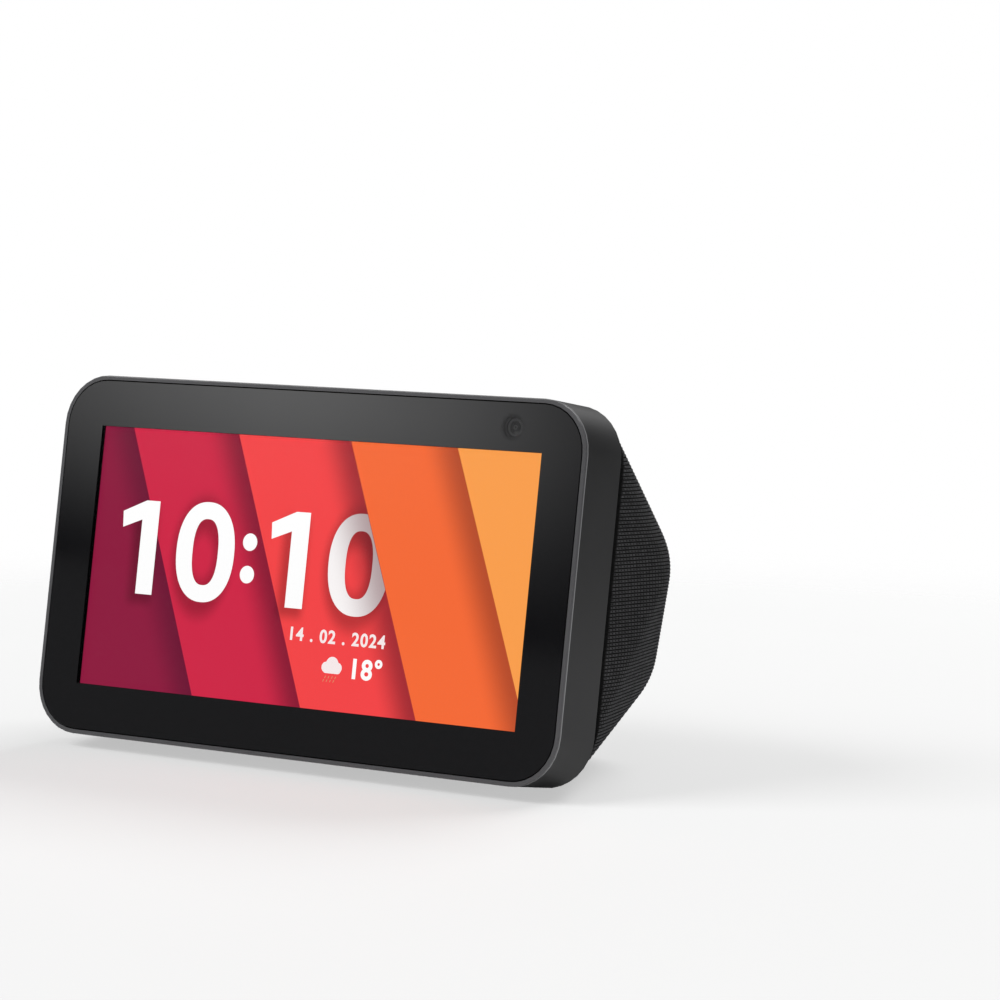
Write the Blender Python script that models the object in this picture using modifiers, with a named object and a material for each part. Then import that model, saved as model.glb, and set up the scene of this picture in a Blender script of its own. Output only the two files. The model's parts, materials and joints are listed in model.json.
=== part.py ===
"""Small smart display: a glass front in a plastic band, and a fabric-covered back.

Run with: blender --background --python part.py

Two frames are used. The ground frame has its origin at the centre of the rubber foot's
resting face, +Z up, with the front towards -Y. The face frame is the empty named face,
tilted back: its origin is the centre of the screen on the front of the glass, X to the
right, Y into the device and Z up along the glass. Sizes are in metres.
"""

import math

import bmesh
import bpy
from mathutils import Matrix, Vector

# ---- driving dimensions --------------------------------------------------------------
WIDTH = 0.148                 # overall width of the band
FACE_HEIGHT = 0.0862          # height of the band along the face
OVERALL_DEPTH = 0.0737        # front of the band to the back of the fabric, on the ground
TILT = math.radians(9.7)      # lean of the face
CORNER = 0.012                # corner radius of the band
BAND_DEPTH = 0.0152           # front of the band to the start of the fabric
BAND_LIFT = 0.0010            # lowest edge of the band above the ground
SCREEN = (0.124, 0.062)       # lit area of the 5.5 inch panel
GAP = 0.0003                  # fitting gap between neighbouring pieces

# band
LIP = 0.0010                  # plastic showing round the glass
SIDE_WALL = 0.0018
TOP_WALL = 0.0020
GLASS_THICKNESS = 0.0011
LEDGE_FRONT = 0.0022          # the ledge the glass is glued to
LEDGE_BACK = 0.0036
LEDGE_WIDTH = 0.0040          # at the sides and the bottom

# controls on the top of the band
CONTROL_DEPTH = 0.0074        # row of controls behind the front of the glass
BUTTON_SPACING = 0.0225
BUTTON_RADIUS = 0.0039
BUTTON_PROUD = 0.0002
BUTTON_TRAVEL = 0.0004
MIC_OFFSET = 0.0130
MIC_HOLE_RADIUS = 0.0005
SHUTTER_TRAVEL = 0.0075
KNOB_RADIUS = 0.00365
KNOB_PROUD = 0.0002
RECESS_DEPTH = 0.0010         # of the knob's recess, below the top of the band
STEM_HALF = 0.0012            # of the square stem under the knob
CAMERA = (0.0541, 0.0364)     # centre of the lens, in the face frame

# back of the device: the band's outline is drawn back to three pairs of equal balls
BALL_RADIUS = 0.0180
BALL_STEPS = 28
RIDGE_BALL = (0.0537, 0.0408, 0.0077)   # half spacing, depth and height on the face frame
REAR_BALL_SIDE = 0.0462
REAR_BALL_HEIGHT = -0.0106
BASE_BALL_SIDE = 0.0400
BASE_BALL_DEPTH = 0.0360
BODY_LIFT = 0.0020            # lowest fabric above the ground
FABRIC_STEP = 0.0006          # the fabric starts this far inside the band's outline
FABRIC = 0.0008
HOUSING_WALL = 0.0020

# base
FOOT_THICKNESS = 0.0012
BASE_THICKNESS = 0.0014
BASE_FRONT = -0.0140
BASE_BACK = 0.0140
BASE_FRONT_HALF = 0.0560
BASE_BACK_HALF = 0.0450
FOOT_INSET = 0.0020
BASE_SCREWS = ((0.0430, -0.0080), (0.0270, 0.0060))
MAGNET_X = 0.020

# speaker: a 42 mm driver that faces the back, its axis along the face frame's Y
SPEAKER_RADIUS = 0.0210
SPEAKER_HEIGHT = -0.0030
SPEAKER_FRONT = 0.0488        # front of the driver's flange

# ports in the lower back, in the ground frame
PORT_X = 0.0320
PORT_HEIGHT = 0.0180
PORT_SIZE = (0.0260, 0.0110)
PORT_FLOOR = 0.0335
PORT_BACK = 0.0285
JACK_X = PORT_X - 0.0060
USB_X = PORT_X + 0.0060

# ---- places worked out from them -----------------------------------------------------
HALF_WIDTH = WIDTH / 2
HALF_FACE = FACE_HEIGHT / 2
FACE_HEIGHT_ABOVE_GROUND = (
    BAND_LIFT + HALF_FACE * math.cos(TILT) + BAND_DEPTH * math.sin(TILT))
FACE_Y = -0.0237              # screen centre in front of the foot's centre
REAR_BALL_DEPTH = (
    (OVERALL_DEPTH - HALF_FACE * math.sin(TILT) - BALL_RADIUS
     - REAR_BALL_HEIGHT * math.sin(TILT)) / math.cos(TILT))
BASE_BALL_HEIGHT = (
    (BODY_LIFT + BALL_RADIUS - FACE_HEIGHT_ABOVE_GROUND
     + BASE_BALL_DEPTH * math.sin(TILT)) / math.cos(TILT))
BALL_PAIRS = (
    RIDGE_BALL,
    (REAR_BALL_SIDE, REAR_BALL_DEPTH, REAR_BALL_HEIGHT),
    (BASE_BALL_SIDE, BASE_BALL_DEPTH, BASE_BALL_HEIGHT),
)
FABRIC_FRONT = BAND_DEPTH + GAP
TOP = HALF_FACE
TOP_INSIDE = TOP - TOP_WALL
KNOB_X = CAMERA[0] - SHUTTER_TRAVEL
BUTTONS = {
    "volume_up_button": BUTTON_SPACING,
    "volume_down_button": 0.0,
    "mic_camera_off_button": -BUTTON_SPACING,
}

COLLECTION = "smart_display"

# ---- materials: colour, roughness, metallic ------------------------------------------
FINISHES = {
    "glass": ((0.010, 0.010, 0.011), 0.08, 0.0),
    "screen": ((0.62, 0.08, 0.06), 0.30, 0.0),
    "band_plastic": ((0.030, 0.030, 0.031), 0.42, 0.0),
    "button_plastic": ((0.035, 0.035, 0.036), 0.45, 0.0),
    "inner_plastic": ((0.015, 0.015, 0.016), 0.60, 0.0),
    "fabric": ((0.022, 0.022, 0.024), 0.95, 0.0),
    "rubber": ((0.020, 0.020, 0.020), 0.90, 0.0),
    "steel": ((0.55, 0.56, 0.57), 0.35, 1.0),
    "magnet": ((0.62, 0.62, 0.60), 0.25, 1.0),
    "board": ((0.010, 0.090, 0.030), 0.50, 0.0),
    "paper": ((0.060, 0.058, 0.055), 0.85, 0.0),
    "copper": ((0.72, 0.38, 0.22), 0.35, 1.0),
    "flex": ((0.55, 0.28, 0.06), 0.45, 0.0),
    "lens": ((0.010, 0.012, 0.020), 0.05, 0.0),
    "red_wire": ((0.55, 0.02, 0.02), 0.50, 0.0),
    "black_wire": ((0.02, 0.02, 0.02), 0.50, 0.0),
}


# ---- scene ---------------------------------------------------------------------------
def clear_scene():
    for item in list(bpy.data.objects):
        bpy.data.objects.remove(item, do_unlink=True)


def new_collection(name):
    collection = bpy.data.collections.new(name)
    bpy.context.scene.collection.children.link(collection)
    return collection


def material(name):
    """The named finish as a Principled BSDF material, made once."""
    existing = bpy.data.materials.get(name)
    if existing:
        return existing
    colour, roughness, metallic = FINISHES[name]
    made = bpy.data.materials.new(name)
    made.use_nodes = True
    shader = made.node_tree.nodes["Principled BSDF"]
    shader.inputs["Base Color"].default_value = (*colour, 1.0)
    shader.inputs["Roughness"].default_value = roughness
    shader.inputs["Metallic"].default_value = metallic
    made.diffuse_color = (*colour, 1.0)
    return made


# ---- outlines ------------------------------------------------------------------------
def rounded_polygon(corners, steps):
    """A convex outline from corners (across, up, radius), given anticlockwise."""
    points = []
    for index, (across, up, radius) in enumerate(corners):
        corner = Vector((across, up))
        before = Vector(corners[index - 1][:2])
        after = Vector(corners[(index + 1) % len(corners)][:2])
        arriving = (corner - before).normalized()
        leaving = (after - corner).normalized()
        turn = math.acos(arriving.dot(leaving))
        start = corner - arriving * radius * math.tan(turn / 2)
        centre = start + Vector((-arriving.y, arriving.x)) * radius
        spoke = start - centre
        for step in range(steps + 1):
            points.append(tuple(centre + Matrix.Rotation(turn * step / steps, 2) @ spoke))
    return points


def rounded(left, right, bottom, top, radius, steps=6):
    """A rectangle with round corners, as points in order."""
    return rounded_polygon(
        ((left, bottom, radius), (right, bottom, radius),
         (right, top, radius), (left, top, radius)), steps)


def band_outline(inset, steps=8, top_inset=None):
    """The band's outline, moved in by inset, and by top_inset at the top."""
    top = TOP - (inset if top_inset is None else top_inset)
    return rounded(
        -HALF_WIDTH + inset, HALF_WIDTH - inset, -HALF_FACE + inset, top,
        max(CORNER - inset, 0.002), steps)


def circle(across, up, radius, steps=24):
    return [
        (across + radius * math.cos(2 * math.pi * step / steps),
         up + radius * math.sin(2 * math.pi * step / steps))
        for step in range(steps)
    ]


def base_outline(inset):
    """The base: a trapezium that narrows to the back, with round corners."""
    front = BASE_FRONT + inset
    back = BASE_BACK - inset
    front_half = BASE_FRONT_HALF - inset
    back_half = BASE_BACK_HALF - inset
    return rounded_polygon(
        ((-front_half, front, 0.006), (front_half, front, 0.006),
         (back_half, back, 0.012), (-back_half, back, 0.012)), steps=6)


# ---- solids --------------------------------------------------------------------------
def add_object(name, mesh, finish, parent=None, location=(0, 0, 0), smooth=None):
    """Put a mesh in the object's collection, with its material and its parent."""
    made = bpy.data.objects.new(name, mesh)
    PARTS.objects.link(made)
    mesh.materials.clear()
    mesh.materials.append(material(finish))
    made.parent = parent
    made.location = location
    if smooth:
        mesh.shade_smooth()
        mesh.set_sharp_from_angle(angle=math.radians(smooth))
    return made


def mesh_from(bm, name):
    bmesh.ops.recalc_face_normals(bm, faces=bm.faces)
    mesh = bpy.data.meshes.new(name)
    bm.to_mesh(mesh)
    bm.free()
    return mesh


def prism_mesh(name, loops, start, end, axis="Y"):
    """A flat outline, with any holes, drawn from start to end along Y or Z."""
    curve = bpy.data.curves.new(name, "CURVE")
    curve.dimensions = "2D"
    curve.fill_mode = "BOTH"
    curve.extrude = abs(end - start) / 2
    for loop in loops:
        spline = curve.splines.new("POLY")
        spline.points.add(len(loop) - 1)
        for point, (across, up) in zip(spline.points, loop):
            point.co = (across, up, 0, 1)
        spline.use_cyclic_u = True
    guide = bpy.data.objects.new(name, curve)
    bpy.context.scene.collection.objects.link(guide)
    depsgraph = bpy.context.evaluated_depsgraph_get()
    flat = bpy.data.meshes.new_from_object(guide.evaluated_get(depsgraph))
    bpy.data.objects.remove(guide)
    bm = bmesh.new()
    bm.from_mesh(flat)
    bmesh.ops.remove_doubles(bm, verts=bm.verts, dist=1e-6)
    middle = (start + end) / 2
    if axis == "Y":
        place = Matrix.Translation((0, middle, 0)) @ Matrix.Rotation(math.radians(90), 4, "X")
    else:
        place = Matrix.Translation((0, 0, middle))
    bmesh.ops.transform(bm, matrix=place, verts=bm.verts)
    bpy.data.meshes.remove(flat)
    return mesh_from(bm, name)


def box_mesh(name, low, high):
    bm = bmesh.new()
    size = [b - a for a, b in zip(low, high)]
    centre = [(a + b) / 2 for a, b in zip(low, high)]
    place = Matrix.Translation(centre) @ Matrix.Diagonal((*size, 1))
    bmesh.ops.create_cube(bm, size=1, matrix=place)
    return mesh_from(bm, name)


def rod_mesh(name, radius, start, end, steps=24):
    """A round rod from one point to another."""
    start = Vector(start)
    end = Vector(end)
    line = end - start
    turn = Vector((0, 0, 1)).rotation_difference(line).to_matrix().to_4x4()
    bm = bmesh.new()
    bmesh.ops.create_cone(
        bm, cap_ends=True, segments=steps, radius1=radius, radius2=radius,
        depth=line.length, matrix=Matrix.Translation((start + end) / 2) @ turn)
    return mesh_from(bm, name)


def turned(name, profile, finish, parent, location, steps=24, smooth=35):
    """A shape turned about the Y axis: the profile gives (radius, place along Y)."""
    count = len(profile)
    sides = [(profile[i], profile[(i + 1) % count]) for i in range(count)]
    area = sum(a[0] * b[1] - b[0] * a[1] for a, b in sides)
    if area > 0:
        profile = profile[::-1]
    mesh = bpy.data.meshes.new(name)
    points = [(radius, 0, along) for radius, along in profile]
    edges = [(i, (i + 1) % count) for i in range(count)]
    if profile[0][0] == 0 and profile[-1][0] == 0:
        edges = edges[:-1]
    mesh.from_pydata(points, edges, [])
    made = add_object(name, mesh, finish, parent, location)
    made.rotation_euler.x = math.radians(-90)
    screw = made.modifiers.new("turn", "SCREW")
    screw.axis = "Z"
    screw.steps = steps
    screw.render_steps = steps
    screw.use_merge_vertices = True
    screw.merge_threshold = 0.00001
    screw.use_smooth_shade = smooth is not None
    return made


def union(target, mesh):
    """Join a closed mesh, given in the target's frame, to the target."""
    return combine(target, mesh, "UNION")


def cut(target, mesh):
    """Cut a closed mesh, given in the target's frame, out of the target."""
    return combine(target, mesh, "DIFFERENCE")


def combine(target, mesh, operation, parent="same"):
    tool = bpy.data.objects.new(mesh.name + "_tool", mesh)
    CUTTERS.objects.link(tool)
    tool.parent = target.parent if parent == "same" else parent
    tool.location = target.location if parent == "same" else (0, 0, 0)
    tool.hide_render = True
    tool.display_type = "WIRE"
    boolean = target.modifiers.new(mesh.name, "BOOLEAN")
    boolean.operation = operation
    boolean.solver = "EXACT"
    boolean.object = tool
    return target


def bevel(target, width, segments=2, angle=40):
    rounding = target.modifiers.new("rounding", "BEVEL")
    rounding.width = width
    rounding.segments = segments
    rounding.limit_method = "ANGLE"
    rounding.angle_limit = math.radians(angle)
    return target


def plate(name, loops, start, end, finish, parent, axis="Y", smooth=30):
    return add_object(
        name, prism_mesh(name, loops, start, end, axis), finish, parent, smooth=smooth)


def block(name, low, high, finish, parent, rounding=0.0):
    made = add_object(name, box_mesh(name, low, high), finish, parent)
    if rounding:
        bevel(made, rounding, segments=1)
    return made


def ribbon(name, path, thickness, left, right, finish, parent):
    """A flat cable: a path in the YZ plane, given a thickness, from left to right."""
    points = [Vector(point) for point in path]
    near = []
    far = []
    for index, point in enumerate(points):
        before = points[max(index - 1, 0)]
        after = points[min(index + 1, len(points) - 1)]
        along = (after - before).normalized()
        across = Vector((-along.y, along.x)) * thickness / 2
        near.append(point + across)
        far.append(point - across)
    outline = [tuple(point) for point in near + far[::-1]]
    mesh = prism_mesh(name, [outline], left, right, axis="Z")
    mesh.transform(Matrix(((0, 0, 1, 0), (1, 0, 0, 0), (0, 1, 0, 0), (0, 0, 0, 1))))
    return add_object(name, mesh, finish, parent)


def wire(name, points, radius, finish, parent):
    """A round wire through the points, as a closed mesh."""
    curve = bpy.data.curves.new(name, "CURVE")
    curve.dimensions = "3D"
    curve.bevel_depth = radius
    curve.bevel_resolution = 1
    curve.use_fill_caps = True
    spline = curve.splines.new("POLY")
    spline.points.add(len(points) - 1)
    for point, place in zip(spline.points, points):
        point.co = (*place, 1)
    guide = bpy.data.objects.new(name, curve)
    bpy.context.scene.collection.objects.link(guide)
    depsgraph = bpy.context.evaluated_depsgraph_get()
    tube = bpy.data.meshes.new_from_object(guide.evaluated_get(depsgraph))
    bpy.data.objects.remove(guide)
    bm = bmesh.new()
    bm.from_mesh(tube)
    bmesh.ops.remove_doubles(bm, verts=bm.verts, dist=1e-6)
    return add_object(name, mesh_from(bm, name), finish, parent, smooth=50)


def body_mesh(name, inset, reach=0.0):
    """The tapered back: the band's outline drawn back to the balls.

    A cutter's outline also reaches forward, so that the shell it leaves is open.
    """
    ball_points = bmesh.new()
    for side, depth, height in BALL_PAIRS:
        for sign in (-1, 1):
            bmesh.ops.create_uvsphere(
                ball_points, u_segments=BALL_STEPS, v_segments=BALL_STEPS // 2,
                radius=BALL_RADIUS - inset,
                matrix=Matrix.Translation((sign * side, depth, height))
                @ Matrix.Rotation(math.radians(90), 4, "Y"))
    bm = bmesh.new()
    for vert in ball_points.verts:
        if vert.co.y > FABRIC_FRONT + 0.001:
            bm.verts.new(vert.co)
    ball_points.free()
    fronts = (FABRIC_FRONT, FABRIC_FRONT - reach) if reach else (FABRIC_FRONT,)
    for front in fronts:
        for across, up in band_outline(FABRIC_STEP + inset):
            bm.verts.new((across, front, up))
    hull = bmesh.ops.convex_hull(bm, input=bm.verts)
    spare = {item for key in ("geom_interior", "geom_unused") for item in hull[key]}
    spare_verts = [item for item in spare if isinstance(item, bmesh.types.BMVert)]
    bmesh.ops.delete(bm, geom=spare_verts, context="VERTS")
    return mesh_from(bm, name)


# ---- front ---------------------------------------------------------------------------
def make_glass(face):
    outline = band_outline(LIP + GAP)
    return plate("cover_glass", [outline], 0, GLASS_THICKNESS, "glass", face)


def make_adhesive(face):
    """The glue ring between the glass and the band's ledge."""
    outer = band_outline(LIP + 2 * GAP)
    inner = band_outline(SIDE_WALL + LEDGE_WIDTH - 0.001, top_inset=TOP_WALL)
    front = GLASS_THICKNESS + GAP
    return plate("glass_adhesive", [outer, inner], front, LEDGE_FRONT - GAP, "rubber", face)


def make_display(face):
    """The panel, its metal backlight tray and its flat cable."""
    half_width = SCREEN[0] / 2
    half_height = SCREEN[1] / 2
    front = GLASS_THICKNESS + GAP
    panel_back = front + 0.0020
    border = 0.0020
    chin = 0.0042
    panel = block(
        "display_panel",
        (-half_width - border, front, -half_height - chin),
        (half_width + border, panel_back, half_height + border), "screen", face)
    tray = block(
        "backlight_tray",
        (-half_width - border, panel_back + GAP, -half_height - chin),
        (half_width + border, panel_back + GAP + 0.0012, half_height + border), "steel", face)
    return panel, tray


def make_frame(face):
    """The band: an outer ring with a glass pocket, a ledge and the control openings."""
    frame = plate("front_frame", [band_outline(0)], 0, BAND_DEPTH, "band_plastic", face)
    bevel(frame, 0.0007, segments=2, angle=60)
    reach = 0.002
    cut(frame, prism_mesh("glass_pocket", [band_outline(LIP)], -reach, LEDGE_FRONT))
    ledge = band_outline(SIDE_WALL + LEDGE_WIDTH, top_inset=TOP_WALL - 0.0002)
    cut(frame, prism_mesh("ledge_opening", [ledge], -reach, BAND_DEPTH + reach))
    cavity = band_outline(SIDE_WALL, top_inset=TOP_WALL)
    cut(frame, prism_mesh("band_cavity", [cavity], LEDGE_BACK, BAND_DEPTH + reach))
    for name, across in BUTTONS.items():
        hole = rod_mesh(
            name + "_hole", BUTTON_RADIUS + GAP,
            (across, CONTROL_DEPTH, TOP_INSIDE - reach), (across, CONTROL_DEPTH, TOP + reach))
        cut(frame, hole)
    for side in (-1, 1):
        across = side * MIC_OFFSET
        hole = rod_mesh(
            "mic_hole", MIC_HOLE_RADIUS, (across, CONTROL_DEPTH, TOP_INSIDE - reach),
            (across, CONTROL_DEPTH, TOP + reach), steps=12)
        cut(frame, hole)
    cut_shutter_slot(frame, reach)
    add_frame_bosses(frame)
    return frame


def cut_shutter_slot(frame, reach):
    """A long recess for the knob, with a narrow slot in its floor for the stem."""
    clear = KNOB_RADIUS + GAP
    recess = rounded(
        KNOB_X - clear, KNOB_X + SHUTTER_TRAVEL + clear,
        CONTROL_DEPTH - clear, CONTROL_DEPTH + clear, clear - 0.00001, steps=8)
    cut(frame, prism_mesh("knob_recess", [recess], TOP - RECESS_DEPTH, TOP + reach, axis="Z"))
    half_stem = STEM_HALF + GAP
    slot = rounded(
        KNOB_X - half_stem, KNOB_X + SHUTTER_TRAVEL + half_stem,
        CONTROL_DEPTH - half_stem, CONTROL_DEPTH + half_stem, 0.0005, steps=2)
    cut(frame, prism_mesh("stem_slot", [slot], TOP_INSIDE - reach, TOP + reach, axis="Z"))


BOSS_PLACES = [(x, z) for x in (-0.0668, 0.0668) for z in (-0.0340, 0.0290)]
BOSS_BACK = 0.0085
BOSS_HALF = 0.0022
BOSS_OVERLAP = 0.0004         # of a post with the wall and the ledge it grows from
PILOT_RADIUS = 0.0011         # of the holes that the screws cut their thread in
CHASSIS_FRONT = BOSS_BACK + GAP
CHASSIS_BACK = CHASSIS_FRONT + 0.0015


def add_frame_bosses(frame):
    """Four posts on the band's ledge that the chassis screws into."""
    for across, up in BOSS_PLACES:
        side = math.copysign(1, across)
        in_wall = side * (HALF_WIDTH - SIDE_WALL + BOSS_OVERLAP)
        inner = across - side * BOSS_HALF
        low = (min(inner, in_wall), LEDGE_BACK - BOSS_OVERLAP, up - BOSS_HALF)
        high = (max(inner, in_wall), BOSS_BACK, up + BOSS_HALF)
        union(frame, box_mesh("boss", low, high))
        pilot = rod_mesh(
            "pilot", PILOT_RADIUS, (across, LEDGE_BACK + 0.0004, up), (across, BOSS_BACK + 0.002, up),
            steps=12)
        cut(frame, pilot)


# ---- controls ------------------------------------------------------------------------
BOARD_TOP = 0.0372            # top of the button board, in the face frame's Z
SWITCH_HEIGHT = 0.0013
SWITCH_HALF = 0.0017          # half width of a switch, and of a microphone
PLUNGER_GAP = BUTTON_TRAVEL + 0.0002


def make_button(name, across, face):
    """A round cap with a retaining flange inside the band and a plunger below it."""
    location = (across, CONTROL_DEPTH, TOP)
    cap_bottom = -TOP_WALL - 2 * GAP
    cap = rod_mesh(name, BUTTON_RADIUS, (0, 0, cap_bottom), (0, 0, BUTTON_PROUD), steps=40)
    button = add_object(name, cap, "button_plastic", face, location, smooth=40)
    bevel(button, 0.0003, segments=2, angle=60)
    flange_top = -TOP_WALL - GAP
    half_length = 0.0043
    half_depth = 0.0034
    union(button, box_mesh(
        "flange", (-half_length, -half_depth, flange_top - 0.0005),
        (half_length, half_depth, flange_top)))
    plunger_end = BOARD_TOP + SWITCH_HEIGHT + PLUNGER_GAP - TOP
    union(button, rod_mesh(
        "plunger", 0.0010, (0, 0, flange_top - 0.0002), (0, 0, plunger_end), steps=12))
    return button


def make_button_board(face):
    """The board under the buttons, its switches and the two microphones."""
    thickness = 0.0010
    board = block(
        "button_board", (-0.0300, 0.0048, BOARD_TOP - thickness),
        (0.0300, 0.0104, BOARD_TOP), "board", face)
    for name, across in BUTTONS.items():
        switch = block(
            name.replace("_button", "_switch"),
            (across - SWITCH_HALF, CONTROL_DEPTH - SWITCH_HALF, BOARD_TOP + GAP),
            (across + SWITCH_HALF, CONTROL_DEPTH + SWITCH_HALF, BOARD_TOP + SWITCH_HEIGHT),
            "steel", face)
        bevel(switch, 0.0003, segments=1)
    for side, name in ((-1, "microphone_left"), (1, "microphone_right")):
        across = side * MIC_OFFSET
        block(
            name, (across - SWITCH_HALF, CONTROL_DEPTH - 0.0013, BOARD_TOP + GAP),
            (across + SWITCH_HALF, CONTROL_DEPTH + 0.0013, BOARD_TOP + 0.0014), "steel", face)
    return board


ARM_TOP = TOP_INSIDE - GAP
ARM_BOTTOM = ARM_TOP - 0.0009
BLADE_FRONT = GLASS_THICKNESS + 0.0004
BLADE_THICKNESS = 0.0004


def make_shutter(face):
    """The knob with its stem and arm, and the blade that covers the lens."""
    location = (KNOB_X, CONTROL_DEPTH, TOP)
    knob_bottom = -RECESS_DEPTH + GAP
    disc = rod_mesh(
        "shutter_knob", KNOB_RADIUS, (0, 0, knob_bottom), (0, 0, KNOB_PROUD), steps=40)
    knob = add_object("shutter_knob", disc, "button_plastic", face, location, smooth=40)
    bevel(knob, 0.0003, segments=2, angle=60)
    arm_top = ARM_TOP - TOP
    arm_bottom = ARM_BOTTOM - TOP
    union(knob, box_mesh(
        "stem", (-STEM_HALF, -STEM_HALF, arm_bottom),
        (STEM_HALF, STEM_HALF, knob_bottom + 0.0003)))
    arm_front = BLADE_FRONT + BLADE_THICKNESS + GAP - CONTROL_DEPTH
    union(knob, box_mesh(
        "arm", (-0.0020, arm_front, arm_bottom + 0.00005), (0.0020, 0.0022, arm_top)))
    blade_half = 0.0031
    blade = add_object("shutter_blade", box_mesh(
        "shutter_blade", (-blade_half, -BLADE_THICKNESS / 2, -0.0027),
        (blade_half, BLADE_THICKNESS / 2, ARM_TOP - CAMERA[1])), "button_plastic", face,
        (KNOB_X, BLADE_FRONT + BLADE_THICKNESS / 2, CAMERA[1]))
    return knob, blade


GUIDE_FRONT = BLADE_FRONT + BLADE_THICKNESS + GAP
GUIDE_BACK = GUIDE_FRONT + 0.0007


def make_camera(face):
    """The camera behind the glass, its lens and the guide the blade slides on."""
    across, up = CAMERA
    guide_outline = rounded(
        KNOB_X - 0.0045, across + 0.0050, up - 0.0026, ARM_BOTTOM - GAP, 0.0005, steps=2)
    lens_hole = circle(across, up, 0.0023, steps=24)
    plate("shutter_guide", [guide_outline, lens_hole], GUIDE_FRONT, GUIDE_BACK,
          "inner_plastic", face)
    module_front = GUIDE_BACK + GAP
    module = block(
        "camera_module", (across - 0.0032, module_front, up - 0.0032),
        (across + 0.0032, module_front + 0.0045, up + 0.0029), "inner_plastic", face, 0.0004)
    lens_profile = (
        (0, 0.0), (0.0011, 0.0001), (0.0013, 0.0), (0.0018, 0.0),
        (0.0018, module_front - GUIDE_FRONT - GAP), (0, module_front - GUIDE_FRONT - GAP))
    turned("camera_lens", lens_profile[::-1], "lens", face, (across, GUIDE_FRONT, up), 24)
    return module


# ---- structure -----------------------------------------------------------------------
BOARD_FRONT = 0.0145
BOARD_BACK = BOARD_FRONT + 0.0012
BOARD_POSTS = ((-0.0430, 0.0200), (0.0430, -0.0240))


def make_chassis(face):
    """The plate behind the screen, with posts for the main board."""
    half_width = 0.0700
    outline = rounded(-half_width, half_width, -0.0390, 0.0340, 0.0030, steps=3)
    holes = [circle(across, up, 0.0013, steps=12) for across, up in BOSS_PLACES]
    lightening = [
        rounded(x - 0.012, x + 0.012, -0.024, 0.018, 0.003, steps=2) for x in (-0.024, 0.024)]
    chassis = plate(
        "mid_chassis", [outline] + holes + lightening, CHASSIS_FRONT, CHASSIS_BACK,
        "inner_plastic", face)
    for across, up in BOARD_POSTS:
        union(chassis, rod_mesh(
            "post", 0.0025, (across, CHASSIS_BACK - 0.0005, up),
            (across, BOARD_FRONT - GAP, up), steps=16))
        cut(chassis, rod_mesh(
            "post_hole", PILOT_RADIUS, (across, CHASSIS_FRONT + 0.0008, up),
            (across, BOARD_FRONT + 0.002, up), steps=12))
    return chassis


def make_screw(name, head_at, towards, parent, length, recess=False):
    """A pan-head screw: its head ends at head_at, and its shaft runs on along towards."""
    head_at = Vector(head_at)
    towards = Vector(towards).normalized()
    head_height = 0.0010
    screw = add_object(name, rod_mesh(
        name, 0.0020, -towards * head_height, (0, 0, 0), steps=16), "steel",
        parent, head_at, smooth=40)
    union(screw, rod_mesh(
        name + "_shaft", 0.0008, -towards * head_height / 2, towards * length, steps=10))
    if recess:
        cut_cross(screw, towards, head_height)
    return screw


def cut_cross(screw, towards, head_height):
    """A cross recess in a screw's head."""
    slot = Matrix.Translation(-towards * head_height)
    side = Vector((1, 0, 0))
    other = towards.cross(side)
    for long_way, short_way in ((side, other), (other, side)):
        half = [abs(v) for v in long_way * 0.0011 + short_way * 0.00025 + towards * 0.0005]
        arm = box_mesh(screw.name + "_cross", [-v for v in half], half)
        arm.transform(slot)
        cut(screw, arm)


def make_main_board(face):
    """The main board with its shield and heat spreader."""
    outline = rounded(-0.0480, 0.0480, -0.0280, 0.0240, 0.0020, steps=2)
    holes = [circle(across, up, 0.0012, steps=12) for across, up in BOARD_POSTS]
    plate("main_board", [outline] + holes, BOARD_FRONT, BOARD_BACK, "board", face)
    block("shield_can", (-0.0160, BOARD_BACK + GAP, -0.0180),
          (0.0180, BOARD_BACK + 0.0028, 0.0120), "steel", face, 0.0005)
    block("heat_spreader", (-0.0200, BOARD_FRONT - 0.0024, -0.0220),
          (0.0220, BOARD_FRONT - GAP, 0.0160), "steel", face, 0.0003)
    block("antenna_board", (-0.0580, BOARD_FRONT, -0.0100),
          (-0.0500, BOARD_FRONT + 0.0008, 0.0200), "board", face)
    block("display_connector", (-0.0060, BOARD_BACK + GAP, 0.0180),
          (0.0060, BOARD_BACK + 0.0016, 0.0220), "inner_plastic", face)


def make_cables(face):
    """Flat cables to the screen, the camera and the buttons, and the speaker's wires."""
    thin = 0.0003
    over = 0.0352
    ribbon("display_cable", (
        (0.0052, 0.0300), (0.0076, 0.0346), (0.0106, over), (0.0160, 0.0300),
        (BOARD_BACK + 0.0022, 0.0240), (BOARD_BACK + 0.0022, 0.0190)),
        thin, -0.0050, 0.0050, "flex", face)
    ribbon("camera_cable", (
        (0.0088, 0.0380), (0.0120, 0.0370), (0.0170, 0.0300), (BOARD_BACK + 0.0008, 0.0220),
        (BOARD_BACK + 0.0006, 0.0150)), thin, 0.0410, 0.0460, "flex", face)
    ribbon("button_cable", (
        (0.0108, 0.0366), (0.0135, 0.0360), (0.0175, 0.0290), (BOARD_BACK + 0.0008, 0.0200),
        (BOARD_BACK + 0.0006, 0.0130)), thin, -0.0270, -0.0220, "flex", face)
    for name, side, finish in (
            ("speaker_wire_red", 1, "red_wire"), ("speaker_wire_black", -1, "black_wire")):
        across = 0.0262 + side * 0.0012
        wire(name, (
            (across, SPEAKER_FRONT - 0.0060, SPEAKER_HEIGHT + 0.0010),
            (across + 0.0015, 0.0380, SPEAKER_HEIGHT), (across + 0.0010, 0.0250, -0.0040),
            (across, BOARD_BACK + 0.0010, -0.0080)), 0.0005, finish, face)


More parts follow.
